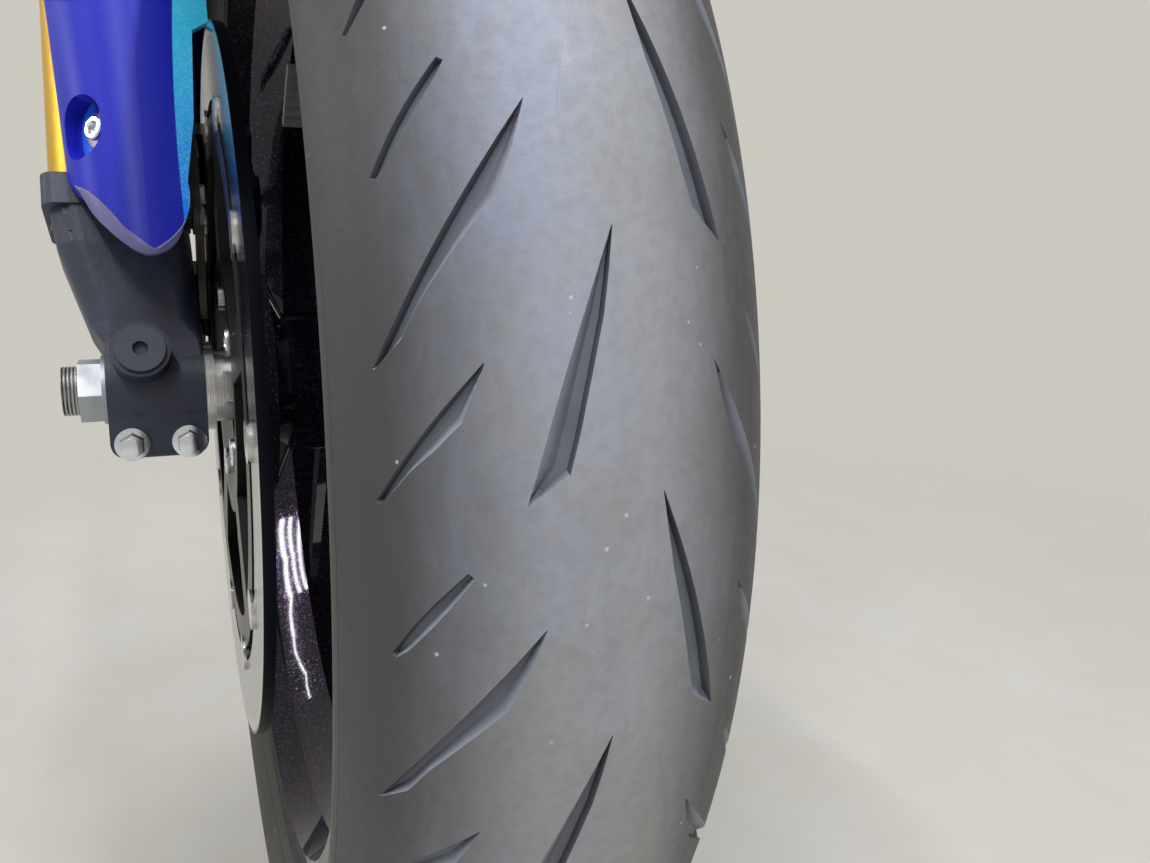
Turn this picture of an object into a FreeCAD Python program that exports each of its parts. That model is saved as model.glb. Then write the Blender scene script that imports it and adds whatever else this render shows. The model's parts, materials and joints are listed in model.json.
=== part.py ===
"""Front end of a sport bike: wheel, twin brake discs, upside-down fork, mudguard and steering head bearings.

Millimetres. +X is forward, +Y is the rider's left, +Z is up. The origin is the middle of the lower
steering bearing's outer race, on the steering axis, as the front end stands on the bike.

Fork pieces are drawn in the leg frame: x points forward across the legs, z up along them, origin at
the axle. Wheel pieces are drawn about the axle, Y being their axis. Left-hand pieces are drawn and
mirrored to the right.
"""
import FreeCAD, Part
import math
import os

V = FreeCAD.Vector

# Steering geometry
RAKE = 24.0
YOKE_OFFSET = 30.0
STEERING_LENGTH = 474.0
FORK_HALF_SPACING = 116.0

# Wheel and tyre
TYRE_R = 299.5
TYRE_HALF_W = 59.5
TYRE_CROWN_SHARE = 0.51724
TYRE_WALL = 7.5
CROWN_BANDS = 8
LINING_SHORT_ANGLE = 10.0
LINING_BANDS = 3
BEAD_SEAT_R = 218.3
RIM_HALF_W = 51.0
RIM_FLANGE_SHARE = 0.1601
RIM_FLANGE_T = 4.5
BEAD_W = 9.0
RIM_WALL = 6.5
RIM_WELL_DROP = 15.3
RIM_LIP = 3.0
RIM_WELL_HALF_W = 22.0
SPOKE_GROUPS = 3
SPOKE_SPLIT = 13.0
SPOKE_ANGLE = 95.0
SPOKE_ROOT_W = 24.0
SPOKE_TIP_W = 17.0
SPOKE_ROOT_D = 46.0
SPOKE_TIP_D = 34.0
SPOKE_BEVEL = 4.0
HUB_R = 33.0
HUB_FLANGE_R = 52.0
HUB_FLANGE_T = 10.0
HUB_HALF_W = 60.0

# Axle, bearings and spacers
AXLE_R = 12.5
AXLE_THREAD_R = 11.0
AXLE_BORE_R = 8.0
AXLE_THREAD_OUT = 18.4
BEARING_R = 26.0
BEARING_W = 15.0
BEARING_INSET = 1.0
BORE_GAP = 0.1
END_GAP = 0.3
SPACER_R = 17.0
SPACER_FLANGE_R = 20.5
SPACER_FLANGE_T = 4.0
NUT_FLANGE_R = 15.5
NUT_FLANGE_T = 2.0
NUT_ACROSS = 26.0
NUT_H = 11.5

# Brake disc
DISC_R = 160.0
DISC_RING_W = 32.0
DISC_T = 4.5
DISC_INNER_Y = 64.0
CARRIER_GAP = 6.0
CARRIER_T = 5.0
CARRIER_BORE_R = 32.0
CARRIER_WINDOWS = 5
BOBBINS = 10
BOBBIN_R = 8.0
BOBBIN_PROUD = 1.0

# Fork foot
CLAMP_INNER_Y = 78.0
CLAMP_W = 41.0
CLAMP_R = 22.5
EAR_DROP = 28.8
EAR_FRONT = 20.5
EAR_BACK = 17.0
EAR_ROUND = 5.0
EAR_CORNER = 8.0
EAR_SLOT = 2.5
TUBE_R = 23.0
TUBE_WALL = 2.5
SOCKET_BOTTOM = 74.0
COLLAR_BOTTOM = 79.0
FOOT_TOP = 93.4
COLLAR_BACK = -26.0
COLLAR_FRONT = 25.5
COLLAR_INNER_Y = 90.0
COLLAR_OUTER_Y = 140.6
COLLAR_ROUND = 6.0
# The neck's level sections from the clamp to the collar: height, back x, front x, inner y, outer y, corner radius
NECK_SECTIONS = (
    (8.0, -20.8, 20.8, 78.0, 119.0, 1.5),
    (16.5, -19.5, 20.6, 78.0, 119.0, 2.5),
    (26.0, -20.0, 21.0, 78.4, 124.6, 9.0),
    (62.0, -24.0, 24.0, 79.5, 135.8, 12.0),
    (79.0, -24.3, 24.3, 80.5, 138.2, 12.0),
    (91.0, -24.0, 24.0, 91.5, 137.5, 14.0),
)
# Small pockets in the front of the neck: inner y, outer y, low, high
FOOT_POCKETS = ((129.5, 136.0, 74.5, 79.0), (128.5, 134.0, 62.0, 67.0))
POCKET_DEPTH = 3.0
PLUG_R = 10.2
PLUG_RIM = 2.0
PLUG_Y = 104.0
PLUG_UP = 8.9
PLUG_FRONT = 34.6
PLUG_T = 6.0

# Fork legs above the foot
EXPOSED_TUBE = 135.0
SEAL_H = 14.0
SEAL_R = 29.5
OUTER_R = 27.0
OUTER_TOP_R = 25.0
OUTER_INNER_GAP = 0.8
OUTER_TAPER = 40.0
SLEEVE_T = 1.0
SLEEVE_H = 22.0
SLEEVE_BEVEL = 4.0
SEAL_BEVEL = 2.0
FORK_LENGTH = 716.0
TUBE_OVERLAP = 150.0
CAP_H = 12.0
CAP_R = 24.0
CAP_THREAD_H = 40.0
CAP_PLUG_H = 16.0
CAP_RIM_H = 4.0
CAP_BEVEL = 2.0
CAP_STEP = 6.0

# Lower yoke, stem and steering bearings
YOKE_T = 34.0
YOKE_CLAMP_WALL = 10.0
YOKE_BOSS_R = 31.0
YOKE_SLOT = 3.0
YOKE_WEB_INSET = 6.0
YOKE_WEB_HALF_W = 20.0
YOKE_WEB_BACK = 10.0
YOKE_WEB_STEP = 3.0
YOKE_LUG_IN = 8.0
YOKE_LUG_OUT = 10.0
YOKE_LUG_HALF_W = 9.0
STEM_STEP_H = 8.0
STEM_R = 15.0
STEM_TOP_R = 12.5
STEM_BORE_R = 9.0
HEAD_HEIGHT = 172.0
STEM_ABOVE = 34.0
LOWER_CUP_R = 27.5
LOWER_CUP_H = 13.0
UPPER_CUP_R = 23.5
UPPER_CUP_H = 11.0
CUP_WALL = 3.0
CUP_TAPER = 3.0
CONE_FOOT = 5.0
RACE_GAP = 0.3
STEM_NUT_R = 20.0
STEM_NUT_H = 12.0
STEM_NUT_SLOT = 6.0

# Brake caliper, radially mounted
CALIPER_ANGLE = 42.0
CALIPER_L = 128.0
CALIPER_DEEP = 48.0
CALIPER_PROUD = 19.0
CALIPER_SLOT = 9.5
CALIPER_OUT = 28.0
CALIPER_IN = 20.0
CALIPER_BRIDGE_GAP = 4.0
CALIPER_BOLTS = 108.0
CALIPER_LUG_R = 10.5
CALIPER_LUG_DEEP = 74.0
CALIPER_WINDOW = 52.0
CALIPER_SEAT_DEEP = 42.0
CALIPER_BEVEL = 6.0
CALIPER_END = 16.0
CALIPER_BOLT_R = 4.2
CALIPER_BAY = 8.0
PISTON_COVER_R = 17.0
PISTON_COVER_PROUD = 3.0
PISTON_SPACING = 50.0
PISTON_DEEP = 15.0
BRACKET_ARM_T = 14.0
ARM_WINDOW_X = -31.0
ARM_WINDOW_LOW = 22.0
ARM_WINDOW_HIGH = 68.0
ARM_WINDOW_SIDE = 16.0
ARM_WINDOW_END = 10.0
ARM_DROP = 6.0
ARM_UNDER_TOP = 4.0
ARM_INSET = 3.0
PORT_X = 38.0
PORT_R = 4.5
PORT_WALL = 4.0
PORT_DEPTH = 12.0
PAD_L = 84.0
PAD_W = 24.0
PAD_GAP = 0.5
PAD_T = 4.0
PAD_BAY_GAP = 1.0
PAD_DEEP = 2.0

# Mudguard
GUARD_CLEAR = 13.0
GUARD_WALL = 3.0
GUARD_SKIRT = 18.0
GUARD_BANDS = 8
GUARD_FRONT_ANGLE = 46.0
GUARD_REAR_ANGLE = 165.0
GUARD_SEAM = 0.5
GUARD_ARC_DROP = 3.5
SHIELD_LOW = 30.0
SHIELD_SPARE = 27.2
# The shield's lowest and highest level sections: inner edge x and y, crown x and y, outer edge x and y
SHIELD_SECTIONS = (
    (44.0, 60.0, 54.0, 97.0, 29.0, 125.0),
    (44.0, 60.0, 54.0, 100.0, 27.0, 141.0),
)
# The shield's outline seen from the front, under its straight sides: y and z, and the point that an arc passes, if any
SHIELD_EDGE = (
    (66.5, 158.6), (73.8, 152.0), (76.0, 108.0), (80.4, 78.0),
    ((95.5, 45.5), (85.2, 55.0)), ((112.0, 59.5), (104.5, 49.5)), (124.0, 78.0), (150.0, 125.0),
)
RECESS_ANGLE = 48.0
RECESS_UP = 106.0
RECESS_HALF_W = 11.0
RECESS_HALF_H = 14.5
RECESS_DEPTH = 8.0
RECESS_FLOOR = 2.0
RECESS_BOLT_R = 3.2
GUARD_PLATE_Y = 75.0
GUARD_PLATE_T = 3.0
GUARD_PLATE_LOW = 74.0
GUARD_PLATE_BACK = -6.0
GUARD_PLATE_FRONT = 34.0
GUARD_ARM_BEND_Y = 97.0
GUARD_PAD_HALF_W = 10.0
GUARD_ARM_LOW = 80.0
GUARD_ARM_HIGH = 124.0
GUARD_BOSS_R = 8.0
GUARD_BOSS_Y = 92.0
GUARD_BOSS_UP = 88.0
GUARD_BOSS_START = 8.0

# Worked out from the sizes above
SIN = math.sin(math.radians(RAKE))
COS = math.cos(math.radians(RAKE))
AXLE = V(SIN * STEERING_LENGTH + COS * YOKE_OFFSET, 0, SIN * YOKE_OFFSET - COS * STEERING_LENGTH)
ALONG_LEG = FreeCAD.Placement(AXLE, FreeCAD.Rotation(V(0, 1, 0), -RAKE))
AT_AXLE = FreeCAD.Placement(AXLE, FreeCAD.Rotation())
AT_CALIPER = FreeCAD.Placement(AXLE, FreeCAD.Rotation(V(0, 1, 0), -RAKE - CALIPER_ANGLE))
CALIPER_IN_LEG = FreeCAD.Placement(V(), FreeCAD.Rotation(V(0, 1, 0), -CALIPER_ANGLE))
UPRIGHT_IN_LEG = FreeCAD.Placement(V(), FreeCAD.Rotation(V(0, 1, 0), RAKE))
LEG_Y = FORK_HALF_SPACING
CLAMP_OUTER_Y = CLAMP_INNER_Y + CLAMP_W
SEAL_BOTTOM = FOOT_TOP + EXPOSED_TUBE
OUTER_BOTTOM = SEAL_BOTTOM + SEAL_H
OUTER_TOP = FORK_LENGTH - CAP_H
LOWER_CUP_Z = STEERING_LENGTH
UPPER_CUP_Z = STEERING_LENGTH + HEAD_HEIGHT
YOKE_TOP = LOWER_CUP_Z - LOWER_CUP_H / 2 - CONE_FOOT
YOKE_BOTTOM = YOKE_TOP - YOKE_T
SECTION_H = TYRE_R - BEAD_SEAT_R
TYRE_CROWN_DROP = SECTION_H * TYRE_CROWN_SHARE
FLANGE_R = BEAD_SEAT_R + SECTION_H * RIM_FLANGE_SHARE
CROWN_R = (TYRE_HALF_W ** 2 + TYRE_CROWN_DROP ** 2) / (2 * TYRE_CROWN_DROP)
CROWN_CENTRE_R = TYRE_R - CROWN_R
CROWN_HALF_ANGLE = math.degrees(math.atan2(TYRE_HALF_W, CROWN_R - TYRE_CROWN_DROP))
LINING_HALF_ANGLE = CROWN_HALF_ANGLE - LINING_SHORT_ANGLE
DISC_OUTER_Y = DISC_INNER_Y + DISC_T
DISC_MID_Y = DISC_INNER_Y + DISC_T / 2
DISC_BORE_R = DISC_R - DISC_RING_W
CARRIER_R = DISC_BORE_R - CARRIER_GAP
BOBBIN_PCR = DISC_BORE_R - CARRIER_GAP / 2
RIM_INNER_R = BEAD_SEAT_R - RIM_WALL + RIM_LIP
RIM_WELL_R = BEAD_SEAT_R - RIM_WELL_DROP
WELL_INNER_R = RIM_WELL_R - RIM_WALL
CALIPER_LOW = DISC_R - CALIPER_DEEP
CALIPER_HIGH = DISC_R + CALIPER_PROUD
CALIPER_BRIDGE_R = DISC_R + CALIPER_BRIDGE_GAP
CALIPER_LUG_LOW = DISC_R - CALIPER_LUG_DEEP
CALIPER_SEAT = DISC_R - CALIPER_SEAT_DEEP
GUARD_ARC_R = TYRE_R - TYRE_HALF_W - GUARD_ARC_DROP
GUARD_ARC_IN = TYRE_R + GUARD_CLEAR - GUARD_ARC_R
GUARD_ARC_OUT = GUARD_ARC_IN + GUARD_WALL
GUARD_HALF_ANGLE = math.degrees(math.asin((GUARD_PLATE_Y - GUARD_WALL) / GUARD_ARC_IN))
GUARD_INNER_R = GUARD_ARC_R + math.sqrt(GUARD_ARC_IN ** 2 - (GUARD_PLATE_Y - GUARD_WALL) ** 2)
GUARD_SKIRT_R = GUARD_INNER_R - GUARD_SKIRT
SHIELD_TOP = GUARD_SKIRT_R + SHIELD_SPARE
SHIELD_FRONT = max(row[2] for row in SHIELD_SECTIONS)


def shield_face(z, turn):
    """Point of the shield's face at a height, where the face has turned from the crown by an angle."""
    low, high = SHIELD_SECTIONS
    share = (z - SHIELD_LOW) / (SHIELD_TOP - SHIELD_LOW)
    row = [a + (b - a) * share for a, b in zip(low, high)]
    crown_x, crown_y, outer_x, outer_y = row[2:]
    r = (outer_y - crown_y) / math.sin(2 * math.atan((crown_x - outer_x) / (outer_y - crown_y)))
    return V(crown_x - r * (1 - math.cos(math.radians(turn))), crown_y + r * math.sin(math.radians(turn)), z)


AT_RECESS = FreeCAD.Placement(shield_face(RECESS_UP, RECESS_ANGLE), FreeCAD.Rotation(V(0, 0, 1), RECESS_ANGLE - 90.0))


def save(name, shape, placement):
    """Write one sub-part, put in its place, as its own file."""
    shape.transformed(placement.toMatrix(), True).exportStep("parts/" + name + ".step")


def save_both(name, left, placement):
    """Write a left-hand sub-part and its mirror image."""
    save(name + "_left", left, placement)
    save(name + "_right", left.mirror(V(), V(0, 1, 0)), placement)


def wire(points):
    """A closed outline. A point given as (end, via) is reached by an arc through via."""
    edges = []
    last = points[0]
    for point in points[1:] + points[:1]:
        if isinstance(point[0], tuple):
            end, via = point
            edges.append(Part.Arc(V(*last), V(*via), V(*end)).toShape())
            last = end
        else:
            if V(*last).distanceToPoint(V(*point)) > 1e-6:
                edges.append(Part.LineSegment(V(*last), V(*point)).toShape())
            last = point
    return Part.Wire(edges)


def turned_y(points, angle=360.0):
    """A solid turned about the wheel's axis from an outline of (radius, y)."""
    flat = [three(p, lambda r, y: (r, y, 0)) for p in points]
    return Part.Face(wire(flat)).revolve(V(), V(0, 1, 0), angle)


def turned_z(points, x=0.0, y=0.0):
    """A solid turned about an upright axis of the leg frame from an outline of (radius, z)."""
    flat = [three(p, lambda r, z: (r, 0, z)) for p in points]
    solid = Part.Face(wire(flat)).revolve(V(), V(0, 0, 1), 360.0)
    solid.translate(V(x, y, 0))
    return solid


def three(point, place):
    """Give a flat point, or a flat (end, via) pair, its third coordinate."""
    if isinstance(point[0], tuple):
        return tuple(place(*p) for p in point)
    return place(*point)


def side_plate(points, y_low, y_high):
    """A plate seen from the side, from an outline of (x, z)."""
    flat = [three(p, lambda x, z: (x, y_low, z)) for p in points]
    return Part.Face(wire(flat)).extrude(V(0, y_high - y_low, 0))


def top_plate(points, z_low, z_high):
    """A plate seen from above, from an outline of (x, y)."""
    flat = [three(p, lambda x, y: (x, y, z_low)) for p in points]
    return Part.Face(wire(flat)).extrude(V(0, 0, z_high - z_low))


def box(x0, x1, y0, y1, z0, z1):
    return Part.makeBox(x1 - x0, y1 - y0, z1 - z0, V(x0, y0, z0))


def rod(r, start, end):
    """A round bar between two points."""
    line = V(*end) - V(*start)
    return Part.makeCylinder(r, line.Length, V(*start), line)


def tube(outer, inner, start, end):
    return rod(outer, start, end).cut(rod(inner, start, end))


def hexagon(across, start, end):
    """A six-sided bar along Y between two heights."""
    corner = across / math.sqrt(3.0)
    ring = [(corner * math.cos(math.radians(60 * i)), corner * math.sin(math.radians(60 * i))) for i in range(6)]
    return side_plate(ring, start, end)


def around_y(shape, count, first=0.0):
    """Copies of a shape, evenly spaced round the wheel's axis."""
    return [shape.rotated(V(), V(0, 1, 0), first + i * 360.0 / count) for i in range(count)]


def rounded_section(z, x0, x1, y0, y1, r):
    """A level outline with round corners, eight edges."""
    k = r * (1 - math.sqrt(0.5))
    points = [
        (x0 + r, y0, z), (x1 - r, y0, z), ((x1, y0 + r, z), (x1 - k, y0 + k, z)),
        (x1, y1 - r, z), ((x1 - r, y1, z), (x1 - k, y1 - k, z)),
        (x0 + r, y1, z), ((x0, y1 - r, z), (x0 + k, y1 - k, z)),
        (x0, y0 + r, z), ((x0 + r, y0, z), (x0 + k, y0 + k, z)),
    ]
    return wire(points)


# Wheel

def chords(centre_r, radius, half_angle, bands):
    """Points on an arc that crosses the middle plane of the wheel, evenly spaced, as (radius, y)."""
    points = []
    for i in range(bands + 1):
        angle = math.radians(half_angle) * (2.0 * i / bands - 1.0)
        points.append((centre_r + radius * math.cos(angle), radius * math.sin(angle)))
    return points


def tyre():
    """The tyre's crown and lining are bands of cones, as wide as keeps the form."""
    seat_y = RIM_HALF_W - RIM_FLANGE_T
    inner_y = seat_y - BEAD_W
    crown = chords(CROWN_CENTRE_R, CROWN_R, CROWN_HALF_ANGLE, CROWN_BANDS)
    lining = chords(CROWN_CENTRE_R, CROWN_R - TYRE_WALL, LINING_HALF_ANGLE, LINING_BANDS)
    left = [(FLANGE_R, seat_y), (BEAD_SEAT_R, seat_y), (BEAD_SEAT_R, inner_y)]
    right = [(r, -y) for r, y in reversed(left)]
    return turned_y(crown + left + lining[::-1] + right)


def rim():
    seat_y = RIM_HALF_W - RIM_FLANGE_T
    bead_y = seat_y - BEAD_W
    half = [
        (RIM_INNER_R, RIM_HALF_W), (FLANGE_R, RIM_HALF_W), (FLANGE_R, seat_y),
        (BEAD_SEAT_R, seat_y), (BEAD_SEAT_R, bead_y), (RIM_WELL_R, RIM_WELL_HALF_W),
    ]
    inner = [(WELL_INNER_R, RIM_WELL_HALF_W - 3.0), (RIM_INNER_R - 4.0, bead_y)]
    outline = [(r, -y) for r, y in half] + [(r, y) for r, y in reversed(half)]
    outline += [(r, y) for r, y in reversed(inner)] + [(r, -y) for r, y in inner]
    return turned_y(outline)


def hub():
    body = HUB_HALF_W - HUB_FLANGE_T
    half = [(BEARING_R - 3.0, 0), (HUB_R, 0), (HUB_R, body - 8.0), (HUB_FLANGE_R, body), (HUB_FLANGE_R, HUB_HALF_W),
            (BEARING_R, HUB_HALF_W), (BEARING_R, HUB_HALF_W - BEARING_INSET - BEARING_W),
            (BEARING_R - 3.0, HUB_HALF_W - BEARING_INSET - BEARING_W)]
    left = turned_y(half)
    return left.fuse(left.mirror(V(), V(0, 1, 0))).removeSplitter()


def bevelled_section(w, d, bevel):
    """A level oblong with its corners cut off."""
    x, y = w / 2, d / 2
    return wire([(-x + bevel, -y, 0), (x - bevel, -y, 0), (x, -y + bevel, 0), (x, y - bevel, 0),
                 (x - bevel, y, 0), (-x + bevel, y, 0), (-x, y - bevel, 0), (-x, -y + bevel, 0)])


def spoke():
    """One arm from the hub to the rim, drawn along +X."""
    overlap = 3.0
    r0 = HUB_R - overlap
    r1 = WELL_INNER_R + overlap
    sections = []
    for r, w, d in ((r0, SPOKE_ROOT_W, SPOKE_ROOT_D), (r1, SPOKE_TIP_W, SPOKE_TIP_D)):
        flat = bevelled_section(w, d, SPOKE_BEVEL)
        flat.rotate(V(), V(0, 1, 0), 90)
        flat.translate(V(r, 0, 0))
        sections.append(flat)
    return Part.makeLoft(sections, True, True)


def wheel_casting():
    arms = []
    for group in range(SPOKE_GROUPS):
        for side in (-1, 1):
            arms.append(spoke().rotated(V(), V(0, 1, 0), -SPOKE_ANGLE - group * 360.0 / SPOKE_GROUPS + side * SPOKE_SPLIT))
    return hub().fuse([rim()] + arms).removeSplitter()


def disc_ring():
    ring = tube(DISC_R, DISC_BORE_R, (0, DISC_INNER_Y, 0), (0, DISC_OUTER_Y, 0))
    seat = rod(BOBBIN_R, (BOBBIN_PCR, DISC_INNER_Y - 5, 0), (BOBBIN_PCR, DISC_OUTER_Y + 5, 0))
    return ring.cut(around_y(seat, BOBBINS))


def disc_carrier():
    y0 = DISC_MID_Y - CARRIER_T / 2
    outline = [(CARRIER_BORE_R, HUB_HALF_W), (HUB_FLANGE_R, HUB_HALF_W), (HUB_FLANGE_R + 4.0, y0), (CARRIER_R, y0),
               (CARRIER_R, y0 + CARRIER_T), (HUB_FLANGE_R, y0 + CARRIER_T), (CARRIER_BORE_R, HUB_HALF_W + CARRIER_T)]
    plate = turned_y(outline)
    seat = rod(BOBBIN_R, (BOBBIN_PCR, y0 - 5, 0), (BOBBIN_PCR, y0 + CARRIER_T + 5, 0))
    low = HUB_FLANGE_R + 8.0
    high = CARRIER_R - 14.0
    half = math.radians(180.0 / CARRIER_WINDOWS)
    half_low = half - 9.0 / low
    half_high = half - 11.0 / high
    corner = [(r * math.cos(a), r * math.sin(a)) for r, a in
              ((low, -half_low), (low, half_low), (high, half_high), (high, -half_high))]
    window = side_plate([corner[0], (corner[1], (low, 0)), corner[2], (corner[3], (high, 0))], y0 - 5, y0 + CARRIER_T + 5)
    return plate.cut(around_y(seat, BOBBINS) + around_y(window, CARRIER_WINDOWS, 180.0 / BOBBINS))


def disc_bobbins():
    y0 = DISC_MID_Y - CARRIER_T / 2 - BOBBIN_PROUD
    y1 = DISC_MID_Y + CARRIER_T / 2 + BOBBIN_PROUD
    one = rod(BOBBIN_R, (BOBBIN_PCR, y0, 0), (BOBBIN_PCR, y1, 0))
    return Part.Compound(around_y(one, BOBBINS))


def wheel_bearing():
    y1 = HUB_HALF_W - BEARING_INSET
    return tube(BEARING_R, AXLE_R + BORE_GAP, (0, y1 - BEARING_W, 0), (0, y1, 0))


def wheel_spacer():
    y0 = HUB_HALF_W - BEARING_INSET + END_GAP
    y1 = CLAMP_INNER_Y
    outline = [(AXLE_R, y0), (SPACER_R, y0), (SPACER_R, y1 - SPACER_FLANGE_T), (SPACER_FLANGE_R, y1 - SPACER_FLANGE_T),
               (SPACER_FLANGE_R, y1), (AXLE_R, y1)]
    return turned_y(outline)


def axle():
    right = -CLAMP_OUTER_Y
    left = CLAMP_OUTER_Y + 2.0
    outline = [(AXLE_BORE_R, right - AXLE_THREAD_OUT), (AXLE_THREAD_R, right - AXLE_THREAD_OUT), (AXLE_THREAD_R, right),
               (AXLE_R, right), (AXLE_R, left), (AXLE_BORE_R, left)]
    return turned_y(outline)


def axle_nut():
    y0 = -CLAMP_OUTER_Y
    flange = rod(NUT_FLANGE_R, (0, y0, 0), (0, y0 - NUT_FLANGE_T, 0))
    nut = hexagon(NUT_ACROSS, y0 - NUT_H, y0 - NUT_FLANGE_T)
    return flange.fuse(nut).cut(rod(AXLE_THREAD_R, (0, y0 + 1, 0), (0, y0 - NUT_H - 1, 0)))


# Fork foot

def pinch_ears():
    """The two ears under the axle that the pinch bolts close, upright as the front end stands."""
    r = EAR_ROUND
    k = r * (1 - math.sqrt(0.5))
    outline = [(-EAR_BACK, 0), (-EAR_BACK, -EAR_DROP + r), ((-EAR_BACK + r, -EAR_DROP), (-EAR_BACK + k, -EAR_DROP + k)),
               (EAR_FRONT - r, -EAR_DROP), ((EAR_FRONT, -EAR_DROP + r), (EAR_FRONT - k, -EAR_DROP + k)), (EAR_FRONT, 0)]
    ears = side_plate(outline, CLAMP_INNER_Y, CLAMP_OUTER_Y)
    y0, y1 = CLAMP_INNER_Y, CLAMP_OUTER_Y
    c = EAR_CORNER
    m = c * (1 - math.sqrt(0.5))
    flat = [(y0, 0), (y0, -EAR_DROP + c), ((y0 + c, -EAR_DROP), (y0 + m, -EAR_DROP + m)), (y1 - c, -EAR_DROP),
            ((y1, -EAR_DROP + c), (y1 - m, -EAR_DROP + m)), (y1, 0)]
    front = Part.Face(wire([three(p, lambda y, z: (-CLAMP_R, y, z)) for p in flat])).extrude(V(2 * CLAMP_R, 0, 0))
    return ears.common(front).transformed(UPRIGHT_IN_LEG.toMatrix(), True)


def foot():
    y0, y1 = CLAMP_INNER_Y, CLAMP_OUTER_Y
    clamp = rod(CLAMP_R, (0, y0, 0), (0, y1, 0))
    neck = Part.makeLoft([rounded_section(*row) for row in NECK_SECTIONS], True, True)
    level = rounded_section(COLLAR_BOTTOM, COLLAR_BACK, COLLAR_FRONT, COLLAR_INNER_Y, COLLAR_OUTER_Y, COLLAR_ROUND)
    collar = Part.Face(level).extrude(V(0, 0, FOOT_TOP - COLLAR_BOTTOM))
    pockets = [box(COLLAR_FRONT - POCKET_DEPTH, COLLAR_FRONT + 1, *row) for row in FOOT_POCKETS]
    plug_boss = rod(PLUG_R + PLUG_RIM, (0, PLUG_Y, PLUG_UP), (PLUG_FRONT - PLUG_RIM, PLUG_Y, PLUG_UP))
    start = GUARD_BOSS_START
    front_boss = rod(GUARD_BOSS_R, (start, GUARD_BOSS_Y, GUARD_BOSS_UP), (GUARD_PLATE_FRONT - GUARD_PLATE_T, GUARD_BOSS_Y, GUARD_BOSS_UP))
    inner_boss = rod(GUARD_BOSS_R, (start, LEG_Y, GUARD_BOSS_UP), (start, GUARD_PLATE_Y + GUARD_PLATE_T, GUARD_BOSS_UP))
    solid = clamp.fuse([pinch_ears(), neck, collar, plug_boss, front_boss, inner_boss] + caliper_lugs())
    solid = solid.cut(pockets + [rod(AXLE_R, (0, y0 - 1, 0), (0, y1 + 1, 0))])
    solid = solid.cut(rod(TUBE_R, (0, LEG_Y, SOCKET_BOTTOM), (0, LEG_Y, GUARD_BOSS_UP + GUARD_BOSS_R + 1)))
    solid = solid.cut(rod(PLUG_R, (PLUG_FRONT - PLUG_T, PLUG_Y, PLUG_UP), (PLUG_FRONT, PLUG_Y, PLUG_UP)))
    slot = box(-EAR_SLOT / 2, EAR_SLOT / 2, y0 - 1, y1 + 1, -EAR_DROP - 1, 0)
    solid = solid.cut(slot.transformed(UPRIGHT_IN_LEG.toMatrix(), True))
    return solid.removeSplitter()


def lug_y():
    return DISC_MID_Y + CALIPER_SLOT / 2 + CALIPER_OUT - CALIPER_LUG_R


def caliper_lugs():
    """Two round lugs that take the caliper's bolts, and the arm that reaches the lower one."""
    y = lug_y()
    pieces = []
    feet = []
    for side in (-1, 1):
        x = side * CALIPER_BOLTS / 2
        lug = rod(CALIPER_LUG_R, (x, y, CALIPER_LUG_LOW), (x, y, CALIPER_SEAT))
        pieces.append(lug.transformed(CALIPER_IN_LEG.toMatrix(), True))
        feet.append([CALIPER_IN_LEG.multVec(V(x, 0, z)) for z in (CALIPER_LUG_LOW, CALIPER_SEAT - ARM_DROP)])
    low_in, low_out = feet[0]
    high_in, high_out = feet[1]
    arm = [(0, -ARM_DROP), (low_in.x, low_in.z), (low_out.x, low_out.z), (high_in.x, high_in.z), (0, FOOT_TOP - ARM_UNDER_TOP)]
    inside = [(ARM_WINDOW_X, ARM_WINDOW_LOW), (low_in.x + ARM_WINDOW_SIDE, low_in.z + ARM_WINDOW_END),
              (ARM_WINDOW_X, ARM_WINDOW_HIGH)]
    y0 = CLAMP_INNER_Y + ARM_INSET
    plate = side_plate(arm, y0, y0 + BRACKET_ARM_T)
    hole = side_plate(inside, y0 - 1, y0 + BRACKET_ARM_T + 1)
    return pieces + [plate.cut(hole)]


def foot_plug():
    plug = rod(PLUG_R, (PLUG_FRONT - PLUG_T, PLUG_Y, PLUG_UP), (PLUG_FRONT, PLUG_Y, PLUG_UP))
    key = rod(3.2, (PLUG_FRONT - 3.0, PLUG_Y, PLUG_UP), (PLUG_FRONT + 1, PLUG_Y, PLUG_UP))
    return plug.cut(key)


# Fork legs

def inner_tube():
    top = SEAL_BOTTOM + TUBE_OVERLAP
    return tube(TUBE_R, TUBE_R - TUBE_WALL, (0, LEG_Y, SOCKET_BOTTOM), (0, LEG_Y, top))


def fork_seal():
    lip = OUTER_R + SLEEVE_T
    bevel = SEAL_BEVEL
    outline = [(TUBE_R, SEAL_BOTTOM), (TUBE_R + bevel, SEAL_BOTTOM), (SEAL_R, SEAL_BOTTOM + 2 * bevel),
               (SEAL_R, OUTER_BOTTOM - bevel), (lip, OUTER_BOTTOM), (TUBE_R, OUTER_BOTTOM)]
    return turned_z(outline, 0, LEG_Y)


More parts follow.
